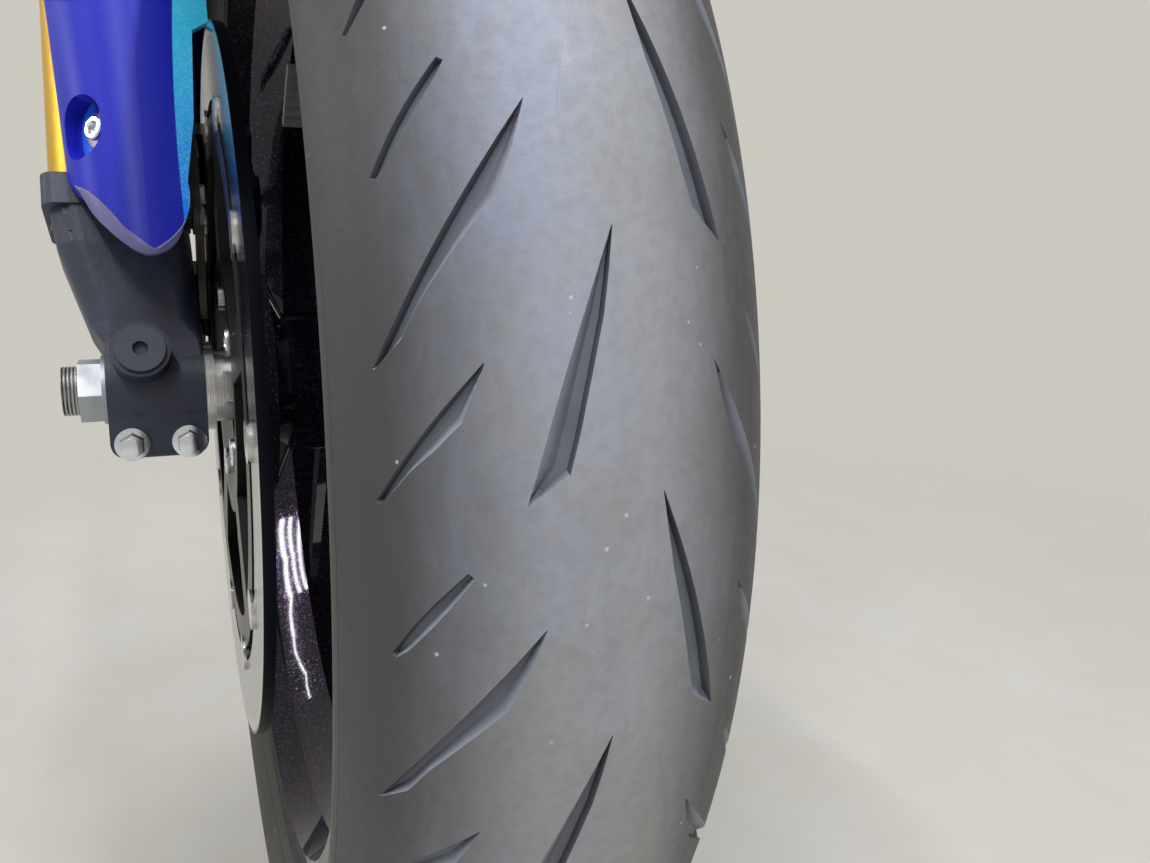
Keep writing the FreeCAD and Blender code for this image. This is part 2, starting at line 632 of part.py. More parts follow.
def outer_tube():
    bore = TUBE_R + OUTER_INNER_GAP
    sleeve = OUTER_R + SLEEVE_T
    sleeve_top = OUTER_BOTTOM + SLEEVE_H
    thread = TUBE_R - TUBE_WALL
    mid = YOKE_TOP + OUTER_TAPER
    outline = [(bore, OUTER_BOTTOM), (sleeve, OUTER_BOTTOM), (sleeve, sleeve_top), (OUTER_R, sleeve_top + SLEEVE_BEVEL),
               (OUTER_R, mid), (OUTER_TOP_R, mid + OUTER_TAPER), (OUTER_TOP_R, OUTER_TOP), (thread, OUTER_TOP),
               (thread, OUTER_TOP - CAP_THREAD_H), (bore, OUTER_TOP - CAP_THREAD_H - SLEEVE_BEVEL)]
    return turned_z(outline, 0, LEG_Y)


def fork_cap():
    thread = TUBE_R - TUBE_WALL
    rim_z = OUTER_TOP + CAP_RIM_H
    top_r = CAP_R - CAP_STEP
    outline = [(0, OUTER_TOP - CAP_PLUG_H), (thread, OUTER_TOP - CAP_PLUG_H), (thread, OUTER_TOP), (CAP_R, OUTER_TOP),
               (CAP_R, rim_z), (top_r, rim_z + CAP_BEVEL), (top_r, FORK_LENGTH), (0, FORK_LENGTH)]
    return turned_z(outline, 0, LEG_Y)


# Yoke, stem and steering bearings

def lower_yoke():
    r = OUTER_R + YOKE_CLAMP_WALL
    y = LEG_Y
    z0, z1 = YOKE_BOTTOM, YOKE_TOP
    stem_x = -YOKE_OFFSET
    clamps = [rod(r, (0, s * y, z0), (0, s * y, z1)) for s in (-1, 1)]
    boss = rod(YOKE_BOSS_R, (stem_x, 0, z0), (stem_x, 0, z1))
    front = stem_x + YOKE_BOSS_R
    back = stem_x - YOKE_BOSS_R + YOKE_WEB_INSET
    web_front = r - YOKE_WEB_INSET
    web = top_plate([(back, -YOKE_WEB_HALF_W), (-r + YOKE_WEB_BACK, -y), (web_front, -y), ((web_front, y), (front, 0)),
                     (-r + YOKE_WEB_BACK, y), (back, YOKE_WEB_HALF_W)], z0 + YOKE_WEB_STEP, z1 - YOKE_WEB_STEP)
    lugs = [box(r - YOKE_LUG_IN, r + YOKE_LUG_OUT, s * y - YOKE_LUG_HALF_W, s * y + YOKE_LUG_HALF_W, z0, z1) for s in (-1, 1)]
    solid = boss.fuse(clamps + [web] + lugs)
    solid = solid.cut([rod(OUTER_R, (0, s * y, z0 - 1), (0, s * y, z1 + 1)) for s in (-1, 1)])
    solid = solid.cut([box(0, r + YOKE_LUG_OUT + 1, s * y - YOKE_SLOT / 2, s * y + YOKE_SLOT / 2, z0 - 1, z1 + 1) for s in (-1, 1)])
    solid = solid.cut(rod(STEM_R, (stem_x, 0, z0 - 1), (stem_x, 0, z1 + 1)))
    return solid.removeSplitter()


def steering_stem():
    step = LOWER_CUP_Z + LOWER_CUP_H
    top = UPPER_CUP_Z + STEM_ABOVE
    outline = [(STEM_BORE_R, YOKE_BOTTOM), (STEM_R, YOKE_BOTTOM), (STEM_R, step), (STEM_TOP_R, step + STEM_STEP_H),
               (STEM_TOP_R, top), (STEM_BORE_R, top)]
    return turned_z(outline, -YOKE_OFFSET)


def cup(radius, height, z, opens):
    """Outer race. Its tapered track opens downwards (-1) or upwards (1)."""
    wide = radius - CUP_WALL
    narrow = wide - CUP_TAPER
    low, high = (narrow, wide) if opens > 0 else (wide, narrow)
    outline = [(low, z - height / 2), (radius, z - height / 2), (radius, z + height / 2), (high, z + height / 2)]
    return turned_z(outline, -YOKE_OFFSET)


def cone(radius, height, z, faces, bore):
    """Inner race with its rollers, and its foot on the wide side."""
    wide = radius - CUP_WALL - RACE_GAP
    narrow = wide - CUP_TAPER
    back = z - faces * height / 2
    front = z + faces * height / 2
    foot_z = front + faces * CONE_FOOT
    outline = [(bore, back), (narrow, back), (wide, front), (wide, foot_z), (bore, foot_z)]
    return turned_z(outline, -YOKE_OFFSET)


def stem_nut():
    z0 = UPPER_CUP_Z + UPPER_CUP_H / 2 + CONE_FOOT
    ring = turned_z([(STEM_TOP_R, z0), (STEM_NUT_R, z0), (STEM_NUT_R, z0 + STEM_NUT_H), (STEM_TOP_R, z0 + STEM_NUT_H)],
                    -YOKE_OFFSET)
    slots = []
    for i in range(4):
        slot = box(STEM_NUT_R - STEM_NUT_SLOT / 2, STEM_NUT_R + 1.0, -STEM_NUT_SLOT / 2, STEM_NUT_SLOT / 2, z0 - 1, z0 + STEM_NUT_H + 1)
        slot = slot.rotated(V(), V(0, 0, 1), 45.0 + 90.0 * i)
        slots.append(slot.translated(V(-YOKE_OFFSET, 0, 0)))
    return ring.cut(slots)


# Brake caliper, drawn with z along the disc's radius and x along its rim

def caliper():
    slot0 = DISC_MID_Y - CALIPER_SLOT / 2
    slot1 = DISC_MID_Y + CALIPER_SLOT / 2
    in_y = slot0 - CALIPER_IN
    out_y = slot1 + CALIPER_OUT
    half = CALIPER_L / 2
    rim_z = math.sqrt(CALIPER_HIGH ** 2 - half ** 2)
    seat = CALIPER_BOLTS / 2 - CALIPER_LUG_R - 1.0
    bevel = CALIPER_BEVEL
    side = [(-half, CALIPER_SEAT), (-seat, CALIPER_SEAT), (-seat + bevel, CALIPER_LOW), (seat - bevel, CALIPER_LOW),
            (seat, CALIPER_SEAT), (half, CALIPER_SEAT), (half, rim_z), ((-half, rim_z), (0, CALIPER_HIGH))]
    covers = []
    for side_x in (-PISTON_SPACING / 2, PISTON_SPACING / 2):
        z = DISC_R - PISTON_DEEP
        covers.append(rod(PISTON_COVER_R, (side_x, in_y - PISTON_COVER_PROUD, z), (side_x, out_y + PISTON_COVER_PROUD, z)))
    body = side_plate(side, in_y, out_y).fuse(covers)
    inner_ends = [box(s * half - CALIPER_END, s * half + CALIPER_END, in_y - 1, slot0 + 1, CALIPER_LOW - 1, rim_z - CALIPER_END)
                  for s in (-1, 1)]
    gap = rod(CALIPER_BRIDGE_R, (0, slot0, 0), (0, slot1, 0))
    window = box(-CALIPER_WINDOW / 2, CALIPER_WINDOW / 2, slot0 - CALIPER_BAY, slot1 + CALIPER_BAY, CALIPER_LOW - 1,
                 CALIPER_HIGH + 1)
    bay = PAD_L / 2 + PAD_BAY_GAP
    pad_bay = box(-bay, bay, slot0 - PAD_T - PAD_BAY_GAP, slot1 + PAD_T + PAD_BAY_GAP, CALIPER_LOW - 1, DISC_R)
    bolts = [rod(CALIPER_BOLT_R, (s * CALIPER_BOLTS / 2, lug_y(), CALIPER_SEAT - 1), (s * CALIPER_BOLTS / 2, lug_y(), CALIPER_HIGH))
             for s in (-1, 1)]
    port_y = slot1 + CALIPER_OUT / 2
    boss = rod(PORT_R + PORT_WALL, (PORT_X, port_y, CALIPER_HIGH - PORT_DEPTH), (PORT_X, port_y, CALIPER_HIGH))
    port = rod(PORT_R, (PORT_X, port_y, CALIPER_HIGH - PORT_DEPTH), (PORT_X, port_y, CALIPER_HIGH + 1))
    return body.cut(inner_ends + [gap, window, pad_bay] + bolts).fuse(boss).cut(port).removeSplitter()


def brake_pads():
    z1 = DISC_R - PAD_DEEP
    z0 = z1 - PAD_W
    inner = DISC_INNER_Y - PAD_GAP
    outer = DISC_OUTER_Y + PAD_GAP
    pads = [box(-PAD_L / 2, PAD_L / 2, y0, y0 + PAD_T, z0, z1) for y0 in (inner - PAD_T, outer)]
    return Part.Compound(pads)


# Mudguard

def mudguard():
    inside = chords(GUARD_ARC_R, GUARD_ARC_IN, GUARD_HALF_ANGLE, GUARD_BANDS)
    outside = chords(GUARD_ARC_R, GUARD_ARC_OUT, GUARD_HALF_ANGLE, GUARD_BANDS)
    out_y = outside[-1][1]
    in_y = inside[-1][1]
    outline = [(GUARD_SKIRT_R, -out_y)] + outside + [(GUARD_SKIRT_R, out_y), (GUARD_SKIRT_R, in_y)] + inside[::-1]
    outline += [(GUARD_SKIRT_R, -in_y)]
    arch = turned_y(outline, GUARD_REAR_ANGLE - GUARD_FRONT_ANGLE)
    return arch.rotated(V(), V(0, 1, 0), -GUARD_REAR_ANGLE)


def tangent_arc(crown, end):
    """The middle point of the arc from a crown, where it runs sideways, to an end behind it."""
    turn = 2 * math.atan((crown[0] - end[0]) / (end[1] - crown[1]))
    r = (end[1] - crown[1]) / math.sin(turn)
    return crown[0] - r * (1 - math.cos(turn / 2)), crown[1] + r * math.sin(turn / 2)


def shield_block(inset):
    """What lies behind the shield's face or, with the wall's thickness as inset, behind its inside."""
    wires = []
    for z, row in zip((SHIELD_LOW, SHIELD_TOP), SHIELD_SECTIONS):
        inner_x, inner_y, crown_x, crown_y, outer_x, outer_y = row
        crown = (crown_x - inset, crown_y)
        inner = (inner_x - inset, inner_y)
        outer = (outer_x, outer_y - inset)
        back = -inset
        flat = [inner, (crown, tangent_arc(crown, inner)), (outer, tangent_arc(crown, outer))]
        flat += [(outer_x, outer_y + inset), (back, outer_y + inset), (back, inner_y - inset), (inner[0], inner_y - inset)]
        wires.append(wire([three(p, lambda x, y: (x, y, z)) for p in flat]))
    return Part.makeLoft(wires, True, True)


def obround(half_w, half_h, start, length):
    """A bar of a rounded section across the recess's axis, from a distance along it."""
    r = half_w
    straight = half_h - r
    flat = wire([(-r, 0, -straight), (-r, 0, straight), ((r, 0, straight), (0, 0, half_h)), (r, 0, -straight),
                 ((-r, 0, -straight), (0, 0, -half_h))])
    bar = Part.Face(flat).extrude(V(0, length, 0))
    bar.translate(V(0, start, 0))
    return bar.transformed(AT_RECESS.toMatrix(), True)


def mudguard_side():
    """Shield in front of a leg: a bent wall, cut to the outline that shows from the front, with a bolt's recess."""
    block = shield_block(0)
    depth = RECESS_DEPTH + RECESS_FLOOR
    cup = obround(RECESS_HALF_W + RECESS_FLOOR, RECESS_HALF_H + RECESS_FLOOR, -depth, depth * 2)
    hollow = obround(RECESS_HALF_W, RECESS_HALF_H, -RECESS_DEPTH, depth * 2)
    bolt = rod(RECESS_BOLT_R, (0, -depth - 1, 0), (0, depth, 0)).transformed(AT_RECESS.toMatrix(), True)
    wall = block.cut(shield_block(GUARD_WALL)).fuse(cup.common(block)).cut([hollow, bolt])
    edge = [(SHIELD_EDGE[0][0], SHIELD_TOP)] + list(SHIELD_EDGE) + [(SHIELD_EDGE[-1][0], SHIELD_TOP)]
    flat = [three(p, lambda y, z: (0, y, z)) for p in edge]
    front = Part.Face(wire(flat)).extrude(V(SHIELD_FRONT * 2, 0, 0))
    under_arch = rod(GUARD_SKIRT_R - GUARD_SEAM, (0, 0, 0), (0, LEG_Y * 2, 0))
    return wall.common(front).common(under_arch)


def mudguard_bracket():
    """An upright plate on the foot's inner side, and an arm whose bent end backs the shield's recess."""
    y0, y1 = GUARD_PLATE_Y, GUARD_PLATE_Y + GUARD_PLATE_T
    x0, x1 = GUARD_PLATE_BACK, GUARD_PLATE_FRONT
    top = GUARD_INNER_R - 2.0
    inner = side_plate([(x0, GUARD_PLATE_LOW + 8.0), (x0 + 8.0, GUARD_PLATE_LOW), (x1, GUARD_PLATE_LOW), (x1, top - 12.0),
                        (x1 - 14.0, top), (x0 + 14.0, top), (x0 + 6.0, top - 12.0)], y0, y1)
    front = -RECESS_DEPTH - RECESS_FLOOR
    back = front - GUARD_PLATE_T
    pad = [AT_RECESS.multVec(V(x, y, 0)) for x, y in
           ((GUARD_PAD_HALF_W, front), (-GUARD_PAD_HALF_W, front), (-GUARD_PAD_HALF_W, back),
            (GUARD_PAD_HALF_W - GUARD_PLATE_T, back))]
    arm = top_plate([(x1 - GUARD_PLATE_T, y0), (x1, y0), (x1, GUARD_ARM_BEND_Y)] + [(v.x, v.y) for v in pad]
                    + [(x1 - GUARD_PLATE_T, GUARD_ARM_BEND_Y + GUARD_PLATE_T / 2)], GUARD_ARM_LOW, GUARD_ARM_HIGH)
    bolt = rod(RECESS_BOLT_R, (0, back - 1, 0), (0, 0, 0)).transformed(AT_RECESS.toMatrix(), True)
    return inner.fuse(arm).cut(bolt).removeSplitter()


os.makedirs("parts", exist_ok=True)

save("tyre", tyre(), AT_AXLE)
save("wheel_casting", wheel_casting(), AT_AXLE)
for name, shape in (("disc_ring", disc_ring()), ("disc_carrier", disc_carrier()), ("disc_bobbins", disc_bobbins()),
                    ("wheel_bearing", wheel_bearing()), ("wheel_spacer", wheel_spacer())):
    save_both(name, shape, AT_AXLE)
save("axle", axle(), AT_AXLE)
save("axle_nut", axle_nut(), AT_AXLE)
for name, shape in (("foot", foot()), ("foot_plug", foot_plug()), ("inner_tube", inner_tube()), ("fork_seal", fork_seal()),
                    ("outer_tube", outer_tube()), ("fork_cap", fork_cap()), ("mudguard_side", mudguard_side()),
                    ("mudguard_bracket", mudguard_bracket())):
    save_both(name, shape, ALONG_LEG)
for name, shape in (("caliper", caliper()), ("brake_pads", brake_pads())):
    save_both(name, shape, AT_CALIPER)
save("mudguard", mudguard(), AT_AXLE)
save("lower_yoke", lower_yoke(), ALONG_LEG)
save("steering_stem", steering_stem(), ALONG_LEG)
save("head_bearing_lower_cup", cup(LOWER_CUP_R, LOWER_CUP_H, LOWER_CUP_Z, -1), ALONG_LEG)
save("head_bearing_upper_cup", cup(UPPER_CUP_R, UPPER_CUP_H, UPPER_CUP_Z, 1), ALONG_LEG)
save("bearing_lower_cone", cone(LOWER_CUP_R, LOWER_CUP_H, LOWER_CUP_Z, -1, STEM_R), ALONG_LEG)
save("bearing_upper_cone", cone(UPPER_CUP_R, UPPER_CUP_H, UPPER_CUP_Z, 1, STEM_TOP_R), ALONG_LEG)
save("stem_nut", stem_nut(), ALONG_LEG)
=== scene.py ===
"""Looks of the sport bike front end: tread, finishes, fasteners, floor, lamps and the photograph's camera.

Metres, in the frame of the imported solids: +X forward, +Y the rider's left, +Z up, origin in the lower
steering bearing. Pieces of the leg are drawn in the leg frame (x forward across the legs, z along
them, origin at the axle), and pieces of the wheel about the axle, both in millimetres. Left-hand
pieces are mirrored.
"""

import json
import math

import bmesh
import bpy
from mathutils import Matrix, Vector


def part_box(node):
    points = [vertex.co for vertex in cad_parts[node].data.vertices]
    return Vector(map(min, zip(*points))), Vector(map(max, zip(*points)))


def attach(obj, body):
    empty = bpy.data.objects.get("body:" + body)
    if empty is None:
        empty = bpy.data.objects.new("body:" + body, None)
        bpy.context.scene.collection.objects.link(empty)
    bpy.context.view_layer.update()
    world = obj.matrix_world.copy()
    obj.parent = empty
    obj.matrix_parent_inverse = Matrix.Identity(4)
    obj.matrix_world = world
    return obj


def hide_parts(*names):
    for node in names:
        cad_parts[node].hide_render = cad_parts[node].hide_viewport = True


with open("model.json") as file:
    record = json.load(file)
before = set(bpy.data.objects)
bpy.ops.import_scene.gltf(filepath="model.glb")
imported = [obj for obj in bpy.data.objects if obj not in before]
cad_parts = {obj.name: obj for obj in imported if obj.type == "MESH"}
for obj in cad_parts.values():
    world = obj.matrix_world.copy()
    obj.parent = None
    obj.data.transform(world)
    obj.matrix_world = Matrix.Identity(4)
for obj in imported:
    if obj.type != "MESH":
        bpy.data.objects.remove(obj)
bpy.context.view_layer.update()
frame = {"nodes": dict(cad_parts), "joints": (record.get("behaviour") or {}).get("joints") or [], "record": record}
MM = 0.001
BOTH = (("left", 1), ("right", -1))


# Places taken from the frame

SPIN = next(j for j in frame["joints"] if j["name"] == "wheel_spin")
AXLE = Vector(SPIN["pos_m"])
RAKE = math.radians(24)
CALIPER_TURN = math.radians(42)
TO_AXLE = Matrix.Translation(AXLE)
TO_LEG = TO_AXLE @ Matrix.Rotation(-RAKE, 4, "Y")
TO_CALIPER = TO_AXLE @ Matrix.Rotation(-RAKE - CALIPER_TURN, 4, "Y")
MIRROR = Matrix.Scale(-1, 4, (0, 1, 0))
TYRE_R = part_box("tyre")[1].x - AXLE.x
TYRE_HALF_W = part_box("tyre")[1].y
CROWN_DROP = 42 * MM
CROWN_R = (TYRE_HALF_W ** 2 + CROWN_DROP ** 2) / (2 * CROWN_DROP)
CROWN_CENTRE_R = TYRE_R - CROWN_R
RIM_FLANGE_R = 231.3 * MM
DISC_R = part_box("disc_ring_left")[1].x - AXLE.x
FLOOR_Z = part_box("tyre")[0].z


# Places on the left-hand leg, millimetres

LEG_Y = 116
FOOT_CLAMP_Z = 84
NUT_END_Y = 131
RECESS_X = 45.8
RECESS_Y = 119.9
RECESS_Z = 106
RECESS_TURN = math.radians(48)
RECESS_HALF_SLOT = 3.5
RECESS_R = 11.4


# Shader nodes

FINISHES = {}


class Link:
    """A node's output socket, on which sums build Math nodes."""

    def __init__(self, nodes, socket):
        self.nodes = nodes
        self.socket = socket

    def sum(self, operation, a, b):
        return self.nodes.node("ShaderNodeMath", {"operation": operation}, {0: a, 1: b})

    def __add__(self, other):
        return self.sum("ADD", self, other)

    def __radd__(self, other):
        return self.sum("ADD", other, self)

    def __sub__(self, other):
        return self.sum("SUBTRACT", self, other)

    def __rsub__(self, other):
        return self.sum("SUBTRACT", other, self)

    def __mul__(self, other):
        return self.sum("MULTIPLY", self, other)

    def __rmul__(self, other):
        return self.sum("MULTIPLY", other, self)

    def __truediv__(self, other):
        return self.sum("DIVIDE", self, other)

    def __pow__(self, other):
        return self.sum("POWER", self, other)

    def over(self, other):
        return self.sum("GREATER_THAN", self, other)

    def least(self, other):
        return self.sum("MINIMUM", self, other)

    def most(self, other):
        return self.sum("MAXIMUM", self, other)


class Nodes:
    """A node tree, to which nodes are added with their settings and inputs."""

    def __init__(self, tree):
        self.tree = tree

    def first(self, kind):
        """The node of a type that a new tree has from the start."""
        return next(n for n in self.tree.nodes if n.type == kind)

    def set(self, node, key, value):
        if isinstance(value, Link):
            self.tree.links.new(value.socket, node.inputs[key])
        elif isinstance(value, tuple) and len(value) == 3 and node.inputs[key].type == "RGBA":
            node.inputs[key].default_value = (*value, 1)
        else:
            node.inputs[key].default_value = value

    def node(self, kind, settings, sockets, output=0):
        made = self.tree.nodes.new(kind)
        for key, value in settings.items():
            setattr(made, key, value)
        for key, value in sockets.items():
            self.set(made, key, value)
        return Link(self, made.outputs[output])

    def seen_directly(self):
        """Whether a ray comes from the camera, off a mirror or through glass."""
        camera, glossy, through = (self.node("ShaderNodeLightPath", {}, {}, "Is %s Ray" % kind)
                                   for kind in ("Camera", "Glossy", "Transmission"))
        return (camera + glossy + through).least(1)

    def show(self, share, shader, glow, output):
        """Mix a shader's output with a glow, and send the mix to the tree's output."""
        mixed = self.node("ShaderNodeMixShader", {}, {0: share, 1: Link(self, shader.outputs[0]), 2: glow})
        self.set(self.first(output), "Surface", mixed)


class Finish(Nodes):
    """A material with its shader and the nodes that feed it, listed in FINISHES by its name."""

    def __init__(self, name):
        self.material = bpy.data.materials.new(name)
        self.material.use_nodes = True
        super().__init__(self.material.node_tree)
        self.shader = self.first("BSDF_PRINCIPLED")
        self.place = self.node("ShaderNodeTexCoord", {}, {}, "Object")
        FINISHES[name] = self.material

    def put(self, **sockets):
        for key, value in sockets.items():
            self.set(self.shader, key.replace("_", " "), value)

    def axis(self, name, place=None):
        return self.node("ShaderNodeSeparateXYZ", {}, {0: place or self.place}, name)

    def noise(self, scale, detail=3, place=None, rough=0.5):
        return self.node("ShaderNodeTexNoise", {}, {"Vector": place or self.place, "Scale": scale,
                                                    "Detail": detail, "Roughness": rough})

    def rings(self, radius, scale, detail):
        """Noise that varies only with a radius."""
        return self.node("ShaderNodeTexNoise", {"noise_dimensions": "1D"},
                         {"W": radius, "Scale": scale, "Detail": detail})

    def cells(self, scale):
        """Distance from the middle of the nearest cell."""
        return self.node("ShaderNodeTexVoronoi", {}, {"Vector": self.place, "Scale": scale}, "Distance")

    def cell_values(self, scale):
        """A value of its own for each cell."""
        colour = self.node("ShaderNodeTexVoronoi", {}, {"Vector": self.place, "Scale": scale}, "Color")
        return self.node("ShaderNodeSeparateColor", {}, {0: colour})

    def stretched(self, scale, at=(0, 0, 0), turn=(0, 0, 0)):
        return self.node("ShaderNodeMapping", {}, {"Vector": self.place, "Scale": scale, "Location": at,
                                                   "Rotation": turn})

    def step(self, value, low, high):
        return self.node("ShaderNodeMapRange", {"interpolation_type": "SMOOTHSTEP"},
                         {"Value": value, "From Min": low, "From Max": high})

    def mix(self, share, a, b):
        return self.node("ShaderNodeMix", {"data_type": "RGBA"}, {"Factor": share, 6: a, 7: b}, 2)

    def bump(self, height, depth):
        self.put(Normal=self.node("ShaderNodeBump", {}, {"Height": height, "Distance": depth * MM}))

    def wheel_radius(self):
        """Distance from the wheel's axis."""
        centred = self.stretched((1, 1, 1), (-AXLE.x, 0, -AXLE.z))
        x, z = self.axis("X", centred), self.axis("Z", centred)
        return (x * x + z * z) ** 0.5

    def leg_place(self):
        """The place in the leg frame, with the distance from the middle plane instead of Y."""
        x, z = self.axis("X") - AXLE.x, self.axis("Z") - AXLE.z
        side = self.axis("Y")
        across = x * math.cos(RAKE) + z * math.sin(RAKE)
        return across, (side * side) ** 0.5, z * math.cos(RAKE) - x * math.sin(RAKE)


def painted(name, colour, rough, grain=0.0, grain_scale=900, metal=0.0, dust=0.0):
    """Paint, plastic or anodising with a fine grain and a light film of dust."""
    f = Finish(name)
    dusty = f.step(f.noise(40, 4), 0.35, 0.75) * dust
    pale = tuple(c * 0.6 + 0.16 for c in colour)
    f.put(Base_Color=f.mix(dusty, colour, pale), Metallic=metal,
          Roughness=f.noise(25, 3) * 0.16 + (rough - 0.08))
    if grain:
        f.bump(f.noise(grain_scale, 2), grain)


TARNISH = (0.72, 0.68, 0.58)


def plated(name, colour, rough, lines, spots=0.2):
    """Bright metal with turning marks and faint tarnish."""
    f = Finish(name)
    stain = f.step(f.noise(60, 4), 0.45, 0.8)
    dull = tuple(c * share for c, share in zip(colour, TARNISH))
    f.put(Base_Color=f.mix(stain * spots, colour, dull), Metallic=1.0,
          Roughness=stain * 0.14 + f.noise(200, 2) * 0.08 + (rough - 0.04))
    f.bump(f.noise(120, 3, f.stretched((1, 12, 1))), lines)


HALF_PITCH = 0.75 * MM


def threaded_zinc():
    """The axle's bright zinc, with the thread on its end beyond the nut."""
    f = Finish("axle_zinc")
    side = f.axis("Y")
    thread = f.step(side, (0.2 - NUT_END_Y) * MM, (-0.2 - NUT_END_Y) * MM)
    ridge = f.node("ShaderNodeMath", {"operation": "PINGPONG"}, {0: side, 1: HALF_PITCH}) / HALF_PITCH
    # Painted shade: the thread's valleys are darker than its crests.
    f.put(Base_Color=f.mix(thread * (1 - ridge), (0.55, 0.57, 0.60), (0.10, 0.095, 0.075)), Metallic=1.0,
          Roughness=f.noise(200, 2) * 0.1 + 0.26)
    f.bump(ridge * thread, 0.45)


# Rings on the tyre's wall: how far they lie outside the rim, and their half width, millimetres
WALL_RINGS = ((5, 1.0), (9, 0.5), (26, 0.6))


def rubber():
    """Dusty, worn tread: bluish wear patches, painted light towards -Y, brown-grey shoulders of unworn rubber with
    painted shade, fine round scuffs, specks of grit.
    """
    f = Finish("tyre_rubber")
    radius = f.wheel_radius()
    side = f.axis("Y")
    away = (side * side) ** 0.5
    patches = f.step(f.noise(13, 5, None, 0.6) + f.noise(45, 3) * 0.25, 0.48, 0.74)
    fine = f.noise(300, 4)
    scuffs = f.noise(26, 6, f.stretched((1, 4, 1), (-AXLE.x, 0, -AXLE.z)), 0.72)
    grey = f.mix(patches, (0.325, 0.327, 0.332), (0.365, 0.380, 0.430))
    worn = f.step(f.noise(8, 4, f.stretched((1, 1.6, 0.7)), 0.6) + f.noise(120, 3) * 0.22, 0.46, 0.72)
    # Painted light: towards -Y the wear patches are lighter and bluer, and the dark shoulder band starts further
    # out.
    painted_light_minus_y = f.step(side, 0.006, -0.014)
    grey = f.mix(worn * painted_light_minus_y * 0.9, grey, (0.310, 0.352, 0.490))
    grey = f.mix(f.step(scuffs, 0.42, 0.66) * 0.35, grey, (0.400, 0.400, 0.410))
    grey = f.mix(f.step(fine, 0.35, 0.75) * 0.25, grey, (0.200, 0.200, 0.206))
    # Darker towards both shoulders: unworn rubber, and painted shade.
    shoulder_wear_and_shade = f.step(away + scuffs * 0.014 - painted_light_minus_y * 0.009, 0.010, 0.051)
    grey = f.mix(shoulder_wear_and_shade, grey, (0.050, 0.050, 0.054))
    wall = f.step(radius, TYRE_R - 34 * MM, TYRE_R - 50 * MM)
    grey = f.mix(wall, grey, (0.040, 0.038, 0.036))
    grit = 1 - f.step(f.cells(260) + f.noise(700, 2) * 0.10, 0.10, 0.24)
    seldom = f.cell_values(260).over(0.965)
    f.put(Base_Color=f.mix(grit * seldom * 0.85, grey, (0.66, 0.65, 0.62)),
          Roughness=fine * 0.20 + 0.42 + shoulder_wear_and_shade * 0.08 - patches * 0.06)
    relief = fine * 0.8 + scuffs * 0.9 + f.noise(1500, 2) * 0.3
    for outside, width in WALL_RINGS:
        off = radius - (RIM_FLANGE_R + outside * MM)
        relief = relief + f.step((off * off) ** 0.5, width * MM, width * 0.6 * MM) * wall * 4
    f.bump(relief, 0.14)


def shaded_groove_rubber(name, dark, light):
    """Rubber inside the grooves, which wear doesn't reach, with painted shade deeper down."""
    f = Finish(name)
    side, out = f.axis("Y"), f.wheel_radius() - CROWN_CENTRE_R
    depth = CROWN_R - (side * side + out * out) ** 0.5
    # Painted shade: the rubber darkens with depth below the crown.
    worn = f.mix(f.noise(90, 3) * 0.5 + f.step(depth, 1.9 * MM, 0.2 * MM) * 0.6, dark, light)
    f.put(Base_Color=worn, Roughness=0.55, Specular_IOR_Level=0.3)
    f.bump(f.noise(500, 2), 0.05)


def flake_paint():
    """Gloss black with a violet flake that shows in the highlights."""
    f = Finish("wheel_paint")
    glint = f.step(f.cell_values(1300), 0.80, 1.0)
    f.put(Base_Color=f.mix(glint, (0.010, 0.009, 0.013), (0.110, 0.062, 0.190)), Metallic=glint * 0.6,
          Roughness=glint * 0.10 + 0.03, Specular_IOR_Level=0.25)


def disc_steel():
    """Stainless ring, worn to a mirror with fine round lines, and dark on its edge."""
    f = Finish("disc_steel")
    radius = f.wheel_radius()
    lines = f.rings(radius, 2600, 4)
    bands = f.rings(radius, 260, 2)
    edge = f.step(radius, DISC_R - 1.6 * MM, DISC_R - 0.9 * MM)
    steel = f.mix(f.step(bands, 0.35, 0.65), (0.17, 0.17, 0.17), (0.30, 0.285, 0.26))
    rim = f.step(radius, DISC_R - 7 * MM, DISC_R - 4 * MM)
    steel = f.mix(rim * (1 - edge), steel, (0.44, 0.41, 0.37))
    f.put(Base_Color=f.mix(edge, steel, (0.016, 0.019, 0.030)), Metallic=1.0,
          Roughness=lines * 0.10 + bands * 0.08 + 0.03 + edge * 0.12)
    f.bump(lines + bands * 0.5, 0.02)


def gold_coating():
    """Gold coating of the sliding tube, with faint upright rub marks, and black inside the foot as painted shade.
    """
    f = Finish("tube_gold")
    rub = f.noise(60, 3, f.stretched((6, 6, 0.25), (0, 0, 0), (0, RAKE, 0)))
    gold = f.mix(f.step(rub, 0.2, 0.8), (0.60, 0.355, 0.02), (0.68, 0.415, 0.03))
    # Painted shade: below the top of the foot's clamp the tube is black.
    inside_foot_shade = f.step(f.leg_place()[2], (FOOT_CLAMP_Z + 1) * MM, FOOT_CLAMP_Z * MM)
    f.put(Base_Color=f.mix(inside_foot_shade, gold, (0.02, 0.02, 0.024)), Metallic=0.75, Roughness=rub * 0.05 + 0.34)


# The stripe's edge on a shield: its greatest distance from the middle plane, the height where it has it,
# and how fast and how far it draws in above and below
STRIPE_HALF_W = 83.6 * MM
STRIPE_MIDDLE = -0.31
STRIPE_CURVE = 0.64
STRIPE_REACH = 0.0045


